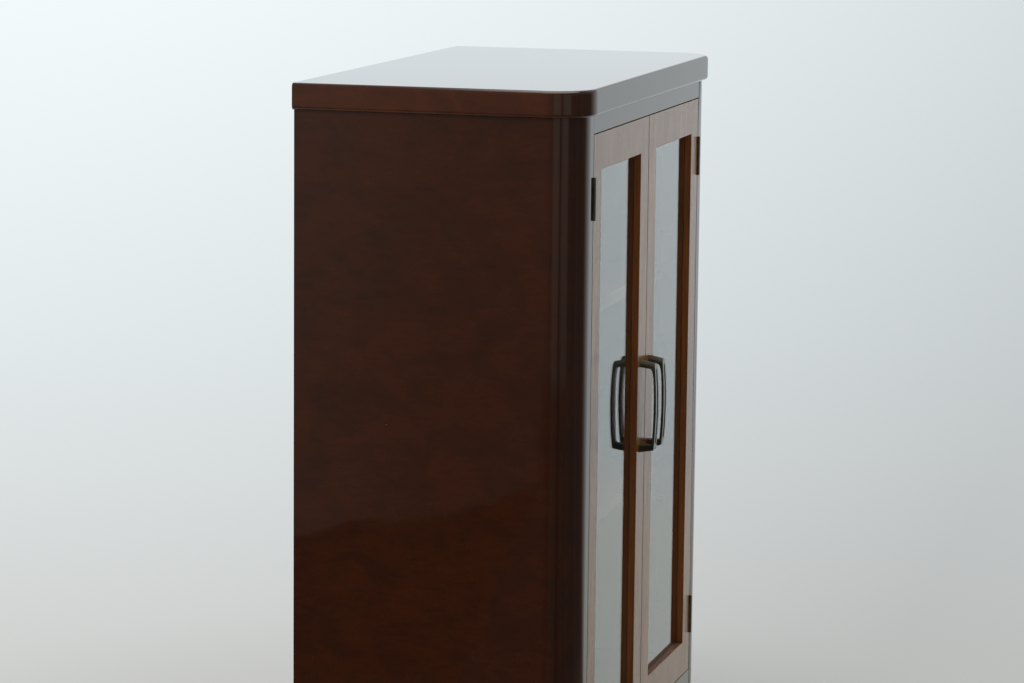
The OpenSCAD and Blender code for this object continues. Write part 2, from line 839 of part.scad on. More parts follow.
// Side view of the handle: reach from the door, height above its middle
module handle_profile() {
    low = foot_z + foot_fillet;
    front = foot_rise - half_h;
    corner_z = leg_top(handle_out);
    inner_corner_z = leg_under(handle_out);
    steps = [0:grip_n - 1];
    grip = [for (i = steps) let(z = front + toe + (turn_h - front - toe) * i / grip_n) [bow(z), z]];
    inner = [for (i = [1:grip_n - 1]) let(z = inner_turn + (low - inner_turn) * i / grip_n) [inner_bow(z), z]];
    polygon(concat(
        [[0, -half_h], [bow(front) - toe, front]],
        grip,
        turn([bow(turn_h), turn_h], [bow(corner_z), corner_z], [elbow, leg_top(elbow)]),
        [[0, leg_top(0)], [0, leg_under(0)]],
        turn([inner_elbow, leg_under(inner_elbow)], [inner_bow(inner_corner_z), inner_corner_z],
             [inner_bow(inner_turn), inner_turn]),
        inner,
        turn([inner_bow(low), low], [inner_bow(foot_z), foot_z], [inner_bow(low) - foot_fillet, foot_z]),
        [[0, foot_z]]
    ));
}

// Bow handle, widest at the middle of its grip
module bow_handle() {
    difference() {
        translate([-handle_x, face_y, handle_z]) intersection() {
            mirror([0, 1, 0]) rotate([90, 0, 90]) translate([0, 0, -handle_w])
                linear_extrude(2 * handle_w) handle_profile();
            swell_side();
            right_hand() swell_side();
        }
        translate([-handle_x, face_y, handle_z]) {
            above_crown();
            grip_hollow();
        }
        handle_screw_places() handle_screw(fit);
    }
}

// What lies over the rounded top of the upper leg, which falls away from the door
module above_crown() {
    length = 4 * handle_out;
    translate([0, 0, half_h]) rotate([atan(leg_slope), 0, 0]) difference() {
        translate([-handle_w, -length / 2, -crown_r]) cube([2 * handle_w, length, 2 * crown_r]);
        translate([0, 0, -crown_r]) rotate([90, 0, 0])
            cylinder(h = length + 2 * over, r = crown_r, center = true);
    }
}

// Shallow hollow along the front of the grip, with a flat rim round it
module grip_hollow() {
    end = half_h - hollow_end;
    floor_line = [for (i = [0:grip_n]) let(z = end * (2 * i / grip_n - 1)) [bow(z) - hollow_d, z]];
    mirror([0, 1, 0]) rotate([90, 0, 90]) translate([0, 0, -hollow_w / 2]) linear_extrude(hollow_w)
        polygon(concat(floor_line, [[handle_out + over, end], [handle_out + over, -end]]));
}

// Wide cylinder whose flank is one swelling side of the grip
module swell_side() {
    translate([swell_r - handle_w / 2, 0, 0]) rotate([90, 0, 0])
        cylinder(h = 4 * handle_out, r = swell_r, center = true, $fn = 720);
}

// Screws of the left-hand handle, from the back of the stile towards the front
module handle_screw_places() {
    for (z = handle_screw_z) translate([-handle_x, door_back_y, z]) rotate([90, 0, 0]) children();
}

module handle_screw(play = 0) {
    cylinder(h = door_t + handle_thread + play, r = handle_screw_r + play);
    translate([0, 0, -pan_t]) cylinder(h = pan_t, r = pan_r);
}

module handle_screws() {
    handle_screw_places() difference() {
        handle_screw();
        translate([0, 0, -pan_t]) cube([2 * pan_r + over, pan_slot_w, pan_t], center = true);
    }
}

// Screw of the left-hand strike plate, pointing into the stile
module strike_screw_place() {
    translate([-strike_x, door_back_y + strike_t, strike_z]) rotate([90, 0, 0]) children();
}

module strike() {
    difference() {
        translate([-strike_x, door_back_y + strike_t / 2, strike_z])
            cube([strike_w, strike_t, strike_h], center = true);
        strike_screw_place() wood_screw(leaf_screw_l, fit);
    }
}

module left_door_outer_stile() { color(door_wood) outer_stile(); }
module left_door_meeting_stile() { color(door_wood) meeting_stile(); }
module left_door_top_rail() { color(door_wood) door_rail(1); }
module left_door_bottom_rail() { color(door_wood) door_rail(0); }
module left_door_glass() { color(pane_tint) door_glass(); }
module left_door_beads() { color(door_wood) door_beads(); }
module left_door_handle() { color(bronze) bow_handle(); }
module left_door_handle_screws() { color(bronze) handle_screws(); }
module left_door_leaves() { color(bronze) door_leaves(); }
module left_door_leaf_screws() { color(bronze) door_screw_places() slotted_screw(leaf_screw_l); }
module left_door_strike() { color(steel) strike(); }
module left_door_strike_screw() { color(steel) strike_screw_place() slotted_screw(leaf_screw_l); }

module right_door_outer_stile() { color(door_wood) right_hand() outer_stile(); }
module right_door_meeting_stile() { color(door_wood) right_hand() meeting_stile(); }
module right_door_top_rail() { color(door_wood) right_hand() door_rail(1); }
module right_door_bottom_rail() { color(door_wood) right_hand() door_rail(0); }
module right_door_glass() { color(pane_tint) right_hand() door_glass(); }
module right_door_beads() { color(door_wood) right_hand() door_beads(); }
module right_door_handle() { color(bronze) right_hand() bow_handle(); }
module right_door_handle_screws() { color(bronze) right_hand() handle_screws(); }
module right_door_leaves() { color(bronze) right_hand() door_leaves(); }
module right_door_leaf_screws() {
    color(bronze) right_hand() door_screw_places() slotted_screw(leaf_screw_l);
}
module right_door_strike() { color(steel) right_hand() strike(); }
module right_door_strike_screw() {
    color(steel) right_hand() strike_screw_place() slotted_screw(leaf_screw_l);
}

top_board();
left_side();
right_side();
left_post();
right_post();
top_rail();
bottom_rail();
top_stop();
rear_rail();
left_cleat();
right_cleat();
cleat_screws();
floor_panel();
back_panel();
back_nails();
lower_shelf();
upper_shelf();
shelf_pegs();
plinth_front();
plinth_left();
plinth_right();
plinth_back();
left_plinth_corner();
right_plinth_corner();
plinth_blocks();
left_post_leaves();
right_post_leaves();
post_leaf_screws();
left_hinge_pins();
right_hinge_pins();
catch_case();
catch_magnets();
catch_screws();
left_door_outer_stile();
left_door_meeting_stile();
left_door_top_rail();
left_door_bottom_rail();
left_door_glass();
left_door_beads();
left_door_handle();
left_door_handle_screws();
left_door_leaves();
left_door_leaf_screws();
left_door_strike();
left_door_strike_screw();
right_door_outer_stile();
right_door_meeting_stile();
right_door_top_rail();
right_door_bottom_rail();
right_door_glass();
right_door_beads();
right_door_handle();
right_door_handle_screws();
right_door_leaves();
right_door_leaf_screws();
right_door_strike();
right_door_strike_screw();
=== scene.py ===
import math

import bpy
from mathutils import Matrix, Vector


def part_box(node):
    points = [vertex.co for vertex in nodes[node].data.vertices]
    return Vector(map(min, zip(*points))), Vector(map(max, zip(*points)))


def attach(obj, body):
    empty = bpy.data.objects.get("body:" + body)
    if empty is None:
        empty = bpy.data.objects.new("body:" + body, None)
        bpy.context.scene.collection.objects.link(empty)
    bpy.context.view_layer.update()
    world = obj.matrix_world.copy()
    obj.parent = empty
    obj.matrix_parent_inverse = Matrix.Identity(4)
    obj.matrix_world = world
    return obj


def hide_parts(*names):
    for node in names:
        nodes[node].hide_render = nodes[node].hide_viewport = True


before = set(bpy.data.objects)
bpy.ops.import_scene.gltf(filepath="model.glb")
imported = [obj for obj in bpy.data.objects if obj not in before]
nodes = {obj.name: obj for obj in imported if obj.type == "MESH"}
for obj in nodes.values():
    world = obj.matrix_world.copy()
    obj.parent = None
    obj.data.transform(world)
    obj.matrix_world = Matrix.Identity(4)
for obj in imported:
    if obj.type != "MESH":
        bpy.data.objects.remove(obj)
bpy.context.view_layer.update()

# Looks of the side cabinet, in metres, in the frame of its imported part:
# X runs to the right seen from the front, Y to the back and Z up from the floor.

# Sizes that the modelled pieces share with the cabinet's own construction
CORNER_RADIUS = 0.046
BOARD_OVERHANG = 0.008
BOARD_EDGE_RADIUS = 0.005
ARRIS_RADIUS = 0.0005
PLINTH_INSET = 0.012
BARREL_CLEARANCE = 0.0003
LEAF_LENGTH = 0.051
LEAF_WIDTH = 0.017
LEAF_THICKNESS = 0.0016
PIN_HEAD = 0.0008
# How far a cutter stands out of the piece that it cuts
CUTTER_MARGIN = 0.001


def level_with(value, goal, slack=1e-5):
    return abs(value - goal) < slack


def is_upright(way):
    return abs(way.z) > 0.9


# Modelling steps

def deselect_all():
    bpy.ops.object.select_all(action="DESELECT")


def pick_piece(piece):
    """Makes a piece the only selected object, and the active one."""
    deselect_all()
    piece.select_set(True)
    bpy.context.view_layer.objects.active = piece


def start_block(name, low, high):
    """A cube stretched between two opposite corners, with its place in its mesh."""
    deselect_all()
    low, high = Vector(low), Vector(high)
    bpy.ops.mesh.primitive_cube_add(size=1, location=(low + high) / 2)
    piece = bpy.context.object
    piece.name = name
    piece.scale = high - low
    bpy.ops.object.transform_apply(location=True, rotation=True, scale=True)
    return piece


def pick_edges(piece, wanted):
    """Leaves a piece in edit mode with the edges selected whose middle and direction are wanted."""
    pick_piece(piece)
    bpy.ops.object.mode_set(mode="EDIT")
    bpy.ops.mesh.select_mode(type="EDGE")
    bpy.ops.mesh.select_all(action="DESELECT")
    bpy.ops.object.mode_set(mode="OBJECT")
    points = piece.data.vertices
    for edge in piece.data.edges:
        start, end = (points[i].co for i in edge.vertices)
        edge.select = wanted((start + end) / 2, (end - start).normalized())
    bpy.ops.object.mode_set(mode="EDIT")


def round_edges(piece, wanted, radius, steps):
    pick_edges(piece, wanted)
    bpy.ops.mesh.bevel(offset=radius, segments=steps, profile=0.5, affect="EDGES")
    bpy.ops.object.mode_set(mode="OBJECT")


def add_modifier(piece, kind, **settings):
    """Adds a modifier to a piece, sets it and applies it."""
    pick_piece(piece)
    bpy.ops.object.modifier_add(type=kind)
    modifier = piece.modifiers[-1]
    for setting, value in settings.items():
        setattr(modifier, setting, value)
    bpy.ops.object.modifier_apply(modifier=modifier.name)


def cut_away(piece, cutter):
    add_modifier(piece, "BOOLEAN", operation="DIFFERENCE", solver="EXACT", object=cutter)
    bpy.data.objects.remove(cutter)


def polish(piece, angle=40):
    """Smooth shading over the rounds of a piece, while its flats stay flat."""
    pick_piece(piece)
    bpy.ops.object.shade_smooth_by_angle(angle=math.radians(angle))
    add_modifier(piece, "WEIGHTED_NORMAL", keep_sharp=True)


def mirrored(piece, name):
    """A copy of a left-hand piece on the right-hand side, with its own mesh."""
    pick_piece(piece)
    bpy.ops.object.duplicate()
    twin = bpy.context.object
    twin.name = name
    bpy.ops.transform.mirror(constraint_axis=(True, False, False), center_override=(0, 0, 0))
    bpy.ops.object.transform_apply(location=True, rotation=True, scale=True)
    bpy.ops.object.mode_set(mode="EDIT")
    bpy.ops.mesh.select_all(action="SELECT")
    bpy.ops.mesh.normals_make_consistent(inside=False)
    bpy.ops.object.mode_set(mode="OBJECT")
    return twin


def seat(piece, node, body, material):
    """Puts a modelled piece in the place of a node, with its body and finish."""
    piece.data.materials.clear()
    piece.data.materials.append(material)
    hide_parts(node)
    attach(piece, body)


# Pieces of the case

def model_top_board():
    """Thick top board: round front corners, then its rounded-over front and side edges."""
    low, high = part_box("top_board")
    board = start_block("polished_top_board", low, high)
    round_edges(board, lambda middle, way: is_upright(way) and level_with(middle.y, low.y),
                CORNER_RADIUS + BOARD_OVERHANG, steps=28)
    round_edges(board, lambda middle, way: not is_upright(way) and not level_with(middle.y, high.y),
                BOARD_EDGE_RADIUS, steps=8)
    polish(board)
    return board


def model_corner_post():
    """Left corner post: big front rounding, door-side arris and the pockets of its two hinges."""
    low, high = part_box("left_post")
    post = start_block("left_rounded_post", low, high)
    round_edges(post, lambda middle, way: is_upright(way) and level_with(middle.y, low.y)
                and level_with(middle.x, low.x), CORNER_RADIUS, steps=28)
    round_edges(post, lambda middle, way: is_upright(way) and level_with(middle.y, low.y)
                and level_with(middle.x, high.x), ARRIS_RADIUS, steps=4)
    pin_low, pin_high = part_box("left_hinge_pins")
    leaves_low, leaves_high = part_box("left_post_leaves")
    barrel_x, barrel_y = (pin_low.x + pin_high.x) / 2, (pin_low.y + pin_high.y) / 2
    barrel_radius = barrel_y - leaves_low.y + BARREL_CLEARANCE
    for bottom in (leaves_low.z, leaves_high.z - LEAF_LENGTH):
        pocket = start_block("leaf_pocket",
                             (high.x - LEAF_THICKNESS, low.y - CUTTER_MARGIN, bottom),
                             (high.x + CUTTER_MARGIN, low.y + LEAF_WIDTH, bottom + LEAF_LENGTH))
        cut_away(post, pocket)
        deselect_all()
        bpy.ops.mesh.primitive_cylinder_add(
            vertices=64, radius=barrel_radius, depth=LEAF_LENGTH + 2 * (PIN_HEAD + BARREL_CLEARANCE),
            location=(barrel_x, barrel_y, bottom + LEAF_LENGTH / 2))
        cut_away(post, bpy.context.object)
    polish(post)
    return post


def model_plinth_corner():
    """Left corner of the plinth, rounded like the post above it."""
    low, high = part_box("left_plinth_corner")
    corner = start_block("left_rounded_plinth_corner", low, high)
    round_edges(corner, lambda middle, way: is_upright(way) and level_with(middle.y, low.y)
                and level_with(middle.x, low.x), CORNER_RADIUS - PLINTH_INSET, steps=24)
    polish(corner)
    return corner


# Bow handle: the side view of its outer and inner faces, as reach from the door and height

HANDLE_HALF_HEIGHT = 0.0605
GRIP_REACH = 0.022
GRIP_THICKNESS = 0.0031
GRIP_BOW_RADIUS = 0.56
GRIP_WIDTH = 0.0165
GRIP_END_WIDTH = 0.013
LEG_THICKNESS = 0.009
LEG_SLOPE = 0.19
LEG_TAPER = 0.12
LEG_CROWN = 0.0035
TURN_DROP = 0.007
TURN_RUN = 0.004
INNER_TURN_DROP = 0.0245
INNER_TURN_RUN = 0.009
FOOT_THICKNESS = 0.009
FOOT_RISE = 0.003
FOOT_TOE = 0.001
FOOT_FILLET = 0.004
HOLLOW_DEPTH = 0.0008
HOLLOW_WIDTH = 0.0075
HOLLOW_END = 0.012
HANDLE_EDGE_RADIUS = 0.0005


def grip_face(height, depth=0.0):
    return GRIP_REACH - depth - height ** 2 / (2 * GRIP_BOW_RADIUS)


def leg_top(reach):
    return HANDLE_HALF_HEIGHT - LEG_SLOPE * reach


def leg_under(reach):
    return HANDLE_HALF_HEIGHT - LEG_THICKNESS - LEG_TAPER * reach


def turn(start, corner, end, part):
    """Point on a smooth corner from start to end that aims at the sharp corner."""
    start, corner, end = Vector(start), Vector(corner), Vector(end)
    return start * (1 - part) ** 2 + corner * 2 * part * (1 - part) + end * part ** 2


def handle_stations():
    """Pairs of outer and inner points from the upper leg, round the grip, to the lower foot."""
    half = HANDLE_HALF_HEIGHT
    elbow, inner_elbow = GRIP_REACH - TURN_RUN, GRIP_REACH - INNER_TURN_RUN
    turn_height, inner_turn = half - TURN_DROP, half - INNER_TURN_DROP
    corner, inner_corner = leg_top(GRIP_REACH), leg_under(GRIP_REACH)
    foot_top, foot_front = FOOT_THICKNESS - half, FOOT_RISE - half
    pairs = []
    for part in (0, 0.33, 0.67):
        outer, inner = part * elbow, part * inner_elbow
        pairs.append((Vector((outer, leg_top(outer))), Vector((inner, leg_under(inner)))))
    turn_steps = 8
    for step in range(turn_steps + 1):
        part = step / turn_steps
        outer = turn((elbow, leg_top(elbow)), (grip_face(corner), corner),
                     (grip_face(turn_height), turn_height), part)
        inner = turn((inner_elbow, leg_under(inner_elbow)),
                     (grip_face(inner_corner, GRIP_THICKNESS), inner_corner),
                     (grip_face(inner_turn, GRIP_THICKNESS), inner_turn), part)
        pairs.append((outer, inner))
    grip_steps = 16
    outer_end, inner_end = foot_front + FOOT_TOE, foot_top + FOOT_FILLET
    for step in range(1, grip_steps + 1):
        part = step / grip_steps
        outer = turn_height + (outer_end - turn_height) * part
        inner = inner_turn + (inner_end - inner_turn) * part
        pairs.append((Vector((grip_face(outer), outer)),
                      Vector((grip_face(inner, GRIP_THICKNESS), inner))))
    outer_foot = grip_face(foot_front) - FOOT_TOE
    inner_foot = grip_face(inner_end, GRIP_THICKNESS) - FOOT_FILLET
    last_outer, last_inner = pairs[-1]
    foot_corner = (grip_face(foot_top, GRIP_THICKNESS), foot_top)
    for part in (0.25, 0.5, 0.75, 1):
        inner = turn(last_inner, foot_corner, (inner_foot, foot_top), part)
        pairs.append((last_outer.lerp(Vector((outer_foot, foot_front)), part), inner))
    for part in (0.5, 0):
        pairs.append((Vector((part * outer_foot, part * FOOT_RISE - half)),
                      Vector((part * inner_foot, foot_top))))
    return pairs


def grip_width(height):
    """Width of the handle, widest at the middle of the grip."""
    swell = GRIP_WIDTH - GRIP_END_WIDTH
    return GRIP_WIDTH - swell * min(1, abs(height) / HANDLE_HALF_HEIGHT) ** 2


def pick_points(piece, places, slack=1e-6):
    """Leaves a piece in edit mode with the points at the given places selected."""
    bpy.ops.object.mode_set(mode="EDIT")
    bpy.ops.mesh.select_mode(type="VERT")
    bpy.ops.mesh.select_all(action="DESELECT")
    bpy.ops.object.mode_set(mode="OBJECT")
    for point in piece.data.vertices:
        point.select = any((point.co - place).length < slack for place in places)
    bpy.ops.object.mode_set(mode="EDIT")


def model_handle():
    """Left door's bow handle: its side view drawn by extruding an edge, then given its width."""
    low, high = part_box("left_door_handle")
    middle_x, door_y, middle_z = (low.x + high.x) / 2, high.y, (low.z + high.z) / 2

    def placed(point):
        return Vector((middle_x - GRIP_WIDTH / 2, door_y - point[0], middle_z + point[1]))

    stations = [(placed(outer), placed(inner)) for outer, inner in handle_stations()]
    deselect_all()
    bpy.ops.mesh.primitive_plane_add(size=1, location=(0, 0, 0))
    handle = bpy.context.object
    handle.name = "left_bow_handle"
    # The plane's first edge becomes the handle's edge at the door, and the rest of it goes
    points = handle.data.vertices
    pick_points(handle, [points[2].co.copy(), points[3].co.copy()])
    bpy.ops.mesh.delete(type="VERT")
    bpy.ops.object.mode_set(mode="OBJECT")
    for start, goal in zip([point.co.copy() for point in points], stations[0]):
        pick_points(handle, [start])
        bpy.ops.transform.translate(value=goal - start)
        bpy.ops.object.mode_set(mode="OBJECT")
    for before, after in zip(stations, stations[1:]):
        pick_points(handle, before)
        bpy.ops.mesh.extrude_region_move(TRANSFORM_OT_translate={"value": after[0] - before[0]})
        bpy.ops.object.mode_set(mode="OBJECT")
        inner_now = before[1] + after[0] - before[0]
        pick_points(handle, [inner_now])
        bpy.ops.transform.translate(value=after[1] - inner_now)
        bpy.ops.object.mode_set(mode="OBJECT")
    bpy.ops.object.mode_set(mode="EDIT")
    bpy.ops.mesh.select_all(action="SELECT")
    bpy.ops.mesh.extrude_region_move(TRANSFORM_OT_translate={"value": (GRIP_WIDTH, 0, 0)})
    bpy.ops.object.mode_set(mode="OBJECT")
    # Each station is drawn in to its width
    across = Vector((GRIP_WIDTH, 0, 0))
    for outer, inner in stations:
        for point in (outer, inner):
            pick_points(handle, [point, point + across])
            bpy.ops.transform.resize(value=(grip_width(point.z - middle_z) / GRIP_WIDTH, 1, 1),
                                     center_override=(middle_x, point.y, point.z))
            bpy.ops.object.mode_set(mode="OBJECT")
    bpy.ops.object.mode_set(mode="EDIT")
    bpy.ops.mesh.select_all(action="SELECT")
    bpy.ops.mesh.normals_make_consistent(inside=False)
    bpy.ops.object.mode_set(mode="OBJECT")
    cut_away(handle, block_above_crown(middle_x, door_y, middle_z + HANDLE_HALF_HEIGHT))
    add_modifier(handle, "BEVEL", width=HANDLE_EDGE_RADIUS, segments=3, limit_method="ANGLE",
                 angle_limit=math.radians(50), profile=0.5)
    cut_away(handle, block_in_front_of_hollow(middle_x, door_y, middle_z))
    polish(handle, angle=35)
    return handle


def block_above_crown(middle_x, door_y, top_z):
    """What lies over the rounded top of the handle's upper leg, which slopes down from the door."""
    radius = ((GRIP_END_WIDTH / 2) ** 2 + LEG_CROWN ** 2) / (2 * LEG_CROWN)
    above = start_block("above_crown", (-GRIP_WIDTH, -2 * GRIP_REACH, -radius),
                        (GRIP_WIDTH, 2 * GRIP_REACH, radius))
    deselect_all()
    bpy.ops.mesh.primitive_cylinder_add(vertices=96, radius=radius, depth=5 * GRIP_REACH,
                                        location=(0, 0, -radius), rotation=(math.pi / 2, 0, 0))
    cut_away(above, bpy.context.object)
    above.rotation_euler.x = math.atan(LEG_SLOPE)
    above.location = (middle_x, door_y, top_z)
    pick_piece(above)
    bpy.ops.object.transform_apply(location=True, rotation=True, scale=True)
    return above


def block_in_front_of_hollow(middle_x, door_y, middle_z):
    """What lies in front of the hollow along the grip; its floor follows the grip's bow."""
    end = HANDLE_HALF_HEIGHT - HOLLOW_END
    front = start_block(
        "in_front_of_hollow",
        (middle_x - HOLLOW_WIDTH / 2, door_y - 1.5 * GRIP_REACH, middle_z - end),
        (middle_x + HOLLOW_WIDTH / 2, door_y - GRIP_REACH / 2, middle_z + end))
    floor_reach = GRIP_REACH - HOLLOW_DEPTH
    deselect_all()
    bpy.ops.mesh.primitive_cylinder_add(
        vertices=720, radius=GRIP_BOW_RADIUS, depth=2 * GRIP_WIDTH,
        location=(middle_x, door_y - floor_reach + GRIP_BOW_RADIUS, middle_z),
        rotation=(0, math.pi / 2, 0))
    cut_away(front, bpy.context.object)
    return front


# Shader tools

def add_node(tree, kind, **settings):
    made = tree.nodes.new(kind)
    for setting, value in settings.items():
        setattr(made, setting, value)
    return made


def fill(node, **values):
    """Sets a node's inputs by name, with _ for a space, from values or from other sockets."""
    for name, value in values.items():
        socket = node.inputs[name.replace("_", " ")]
        if isinstance(value, bpy.types.NodeSocket):
            node.id_data.links.new(value, socket)
        else:
            socket.default_value = value
    return node


def math_node(tree, operation, first, second=None, third=None, clamp=False):
    made = add_node(tree, "ShaderNodeMath", operation=operation, use_clamp=clamp)
    for socket, value in zip(made.inputs, (first, second, third)):
        if isinstance(value, bpy.types.NodeSocket):
            tree.links.new(value, socket)
        elif value is not None:
            socket.default_value = value
    return made.outputs[0]


def vector_node(tree, operation, first, second):
    made = add_node(tree, "ShaderNodeVectorMath", operation=operation)
    for socket, value in zip(made.inputs, (first, second)):
        if isinstance(value, bpy.types.NodeSocket):
            tree.links.new(value, socket)
        else:
            socket.default_value = value
    return made.outputs["Vector"]


def axes_of(tree, vector):
    """The X, Y and Z of a vector."""
    return fill(add_node(tree, "ShaderNodeSeparateXYZ"), Vector=vector).outputs


def facing_of(tree):
    """The X, Y and Z of the way that a surface faces, in its object's frame."""
    return axes_of(tree, tree.nodes.new("ShaderNodeTexCoord").outputs["Normal"])


def distance_from(tree, value, goal):
    """How far a value is from a goal, on either side of it."""
    return math_node(tree, "ABSOLUTE", math_node(tree, "SUBTRACT", value, goal))


def remap(tree, value, low, high, to_low=0.0, to_high=1.0, smooth=True):
    """Turns the values from low to high into the numbers from to_low to to_high."""
    made = add_node(tree, "ShaderNodeMapRange",
                    interpolation_type="SMOOTHSTEP" if smooth else "LINEAR")
    fill(made, Value=value, From_Min=low, From_Max=high, To_Min=to_low, To_Max=to_high)
    return made.outputs["Result"]


def mix_colours(tree, factor, first, second, blend="MIX"):
    made = add_node(tree, "ShaderNodeMix", data_type="RGBA", blend_type=blend)
    sockets = [made.inputs[0], made.inputs[6], made.inputs[7]]
    for socket, value in zip(sockets, (factor, first, second)):
        if isinstance(value, bpy.types.NodeSocket):
            tree.links.new(value, socket)
        elif socket == made.inputs[0]:
            socket.default_value = value
        else:
            socket.default_value = (*value, 1)
    return made.outputs[2]


def noise(tree, vector, scale, detail=4.0, roughness=0.55, distortion=0.0):
    made = add_node(tree, "ShaderNodeTexNoise")
    fill(made, Vector=vector, Scale=scale, Detail=detail, Roughness=roughness, Distortion=distortion)
    return made.outputs["Fac"]


def make_group(name, inputs, outputs):
    """A shader node group with named sockets, as (group, its inputs, its outputs)."""
    group = bpy.data.node_groups.new(name, "ShaderNodeTree")
    for label, kind in inputs:
        group.interface.new_socket(label, in_out="INPUT", socket_type=kind)
    for label, kind in outputs:
        group.interface.new_socket(label, in_out="OUTPUT", socket_type=kind)
    return group, group.nodes.new("NodeGroupInput").outputs, group.nodes.new("NodeGroupOutput")


COLOUR, VALUE, VECTOR = "NodeSocketColor", "NodeSocketFloat", "NodeSocketVector"
OPEN_PORE = (0.006, 0.003, 0.002)
# How the grain's clouds and pores are stretched, and the noise that they lie between
CLOUD_STRETCH = (0.5, 0.16, 0.16)
CLOUD_RANGE = (0.3, 0.7)
PORE_STRETCH = (2.6, 7.0, 7.0)
PORE_RANGE = (0.56, 0.7)
# Scales of a rubbed surface's slow wave and of its fine texture
SLOW_WAVE_SCALE = 14.0
FINE_WAVE_SCALE = 700.0


def make_wood_grain():
    """Wood with its grain along X: streaks, a soft figure between two colours, and open pores."""
    group, given, out = make_group(
        "wood_grain",
        [("Vector", VECTOR), ("Dark", COLOUR), ("Light", COLOUR), ("Along", VALUE), ("Across", VALUE),
         ("Contrast", VALUE), ("Cloud", VALUE), ("Pores", VALUE)],
        [("Color", COLOUR), ("Figure", VALUE), ("Pore Mask", VALUE)])
    scale = add_node(group, "ShaderNodeCombineXYZ")
    fill(scale, X=given["Along"], Y=given["Across"], Z=given["Across"])
    stretched = vector_node(group, "MULTIPLY", given["Vector"], scale.outputs[0])
    streaks = noise(group, stretched, 1.0, detail=5.0, roughness=0.6, distortion=0.5)
    cloud_place = vector_node(group, "MULTIPLY", stretched, CLOUD_STRETCH)
    clouds = noise(group, cloud_place, 1.0, detail=3.0, roughness=0.55, distortion=0.6)
    clouds = remap(group, clouds, *CLOUD_RANGE)
    streaks = math_node(group, "SUBTRACT", streaks, 0.5)
    streaks = math_node(group, "MULTIPLY", streaks, given["Contrast"])
    clouds = math_node(group, "SUBTRACT", clouds, 0.5)
    clouds = math_node(group, "MULTIPLY", clouds, given["Cloud"])
    figure = math_node(group, "ADD", math_node(group, "ADD", streaks, clouds), 0.5, clamp=True)
    pore_place = vector_node(group, "MULTIPLY", stretched, PORE_STRETCH)
    pores = remap(group, noise(group, pore_place, 1.0, detail=2.0, roughness=0.5), *PORE_RANGE)
    pores = math_node(group, "MULTIPLY", pores, given["Pores"])
    colour = mix_colours(group, figure, given["Dark"], given["Light"])
    colour = mix_colours(group, pores, colour, OPEN_PORE)
    fill(out, Color=colour, Figure=figure, Pore_Mask=pores)
    return group


def make_surface_wave():
    """Height of a hand-rubbed surface: a slow wave with a faint fine texture."""
    group, given, out = make_group(
        "surface_wave", [("Vector", VECTOR), ("Slow", VALUE), ("Fine", VALUE)], [("Height", VALUE)])
    slow = noise(group, given["Vector"], SLOW_WAVE_SCALE, detail=1.0)
    slow = math_node(group, "MULTIPLY", slow, given["Slow"])
    fine = noise(group, given["Vector"], FINE_WAVE_SCALE, detail=2.0)
    fine = math_node(group, "MULTIPLY", fine, given["Fine"])
    fill(out, Height=math_node(group, "ADD", slow, fine))
    return group


wood_grain = make_wood_grain()
surface_wave = make_surface_wave()


def start_material(name):
    """A new material, as (material, tree, principled shader, object coordinates)."""
    material = bpy.data.materials.new(name)
    material.use_nodes = True
    tree = material.node_tree
    shader = tree.nodes["Principled BSDF"]
    place = tree.nodes.new("ShaderNodeTexCoord").outputs["Object"]
    return material, tree, shader, place


def place_group(tree, group, **values):
    made = add_node(tree, "ShaderNodeGroup", node_tree=group)
    return fill(made, **values)


def turned_along(tree, place, axis):
    """Coordinates with X along the grain, for a board whose grain runs along X, Y or Z."""
    turns = {"X": (0, 0, 0), "Y": (0, 0, math.pi / 2), "Z": (0, math.pi / 2, 0)}
    mapping = add_node(tree, "ShaderNodeMapping")
    fill(mapping, Vector=place, Rotation=turns[axis])
    return mapping.outputs["Vector"]


def add_bump(tree, shader, height, strength, distance):
    bump = add_node(tree, "ShaderNodeBump")
    fill(bump, Height=height, Strength=strength, Distance=distance)
    fill(shader, Normal=bump.outputs["Normal"])


# Finishes

# Colours of the woods and metals
BLACK = (0.0, 0.0, 0.0)
MAHOGANY_DARK = (0.0190, 0.0075, 0.0042)
MAHOGANY_RED = (0.0480, 0.0118, 0.0044)
DOOR_DARK = (0.107, 0.0390, 0.0065, 1)
DOOR_LIGHT = (0.220, 0.0830, 0.0125, 1)
INNER_DARK = (0.055, 0.0230, 0.0090, 1)
INNER_LIGHT = (0.110, 0.0500, 0.0200, 1)
PLY_DARK = (0.150, 0.0800, 0.0380, 1)
PLY_LIGHT = (0.240, 0.1400, 0.0700, 1)
EDGE_SHADE = (0.022, 0.013, 0.009)
SILL_DARK = (0.042, 0.020, 0.009)
REBATE_LIGHT = (1.58, 1.25, 1.15)
BRONZE_GREEN = (0.155, 0.165, 0.138)
BRONZE_BROWN = (0.138, 0.134, 0.104)
BRONZE_SPECK = (0.080, 0.080, 0.062)
BRONZE_SKIN = (0.090, 0.090, 0.066)
FOOT_SHADE = (0.012, 0.010, 0.007)
PLASTIC_DARK = (0.045, 0.024, 0.014)
PLASTIC_LIGHT = (0.062, 0.034, 0.020)

# Where the painted shade on the lacquer over the rounded corners begins, and the depth over which it
# grows
CORNER_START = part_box("left_post")[0].y + CORNER_RADIUS
SHADE_RUN = 0.02
# The upward part of the way that a face looks, from lying faces, which get no painted shade, to upright
# ones, and the distances past the inside over which the lacquer begins
LYING_TO_UPRIGHT = (0.7, 0.3)
LACQUER_BEGINS = (0.0002, 0.0006)


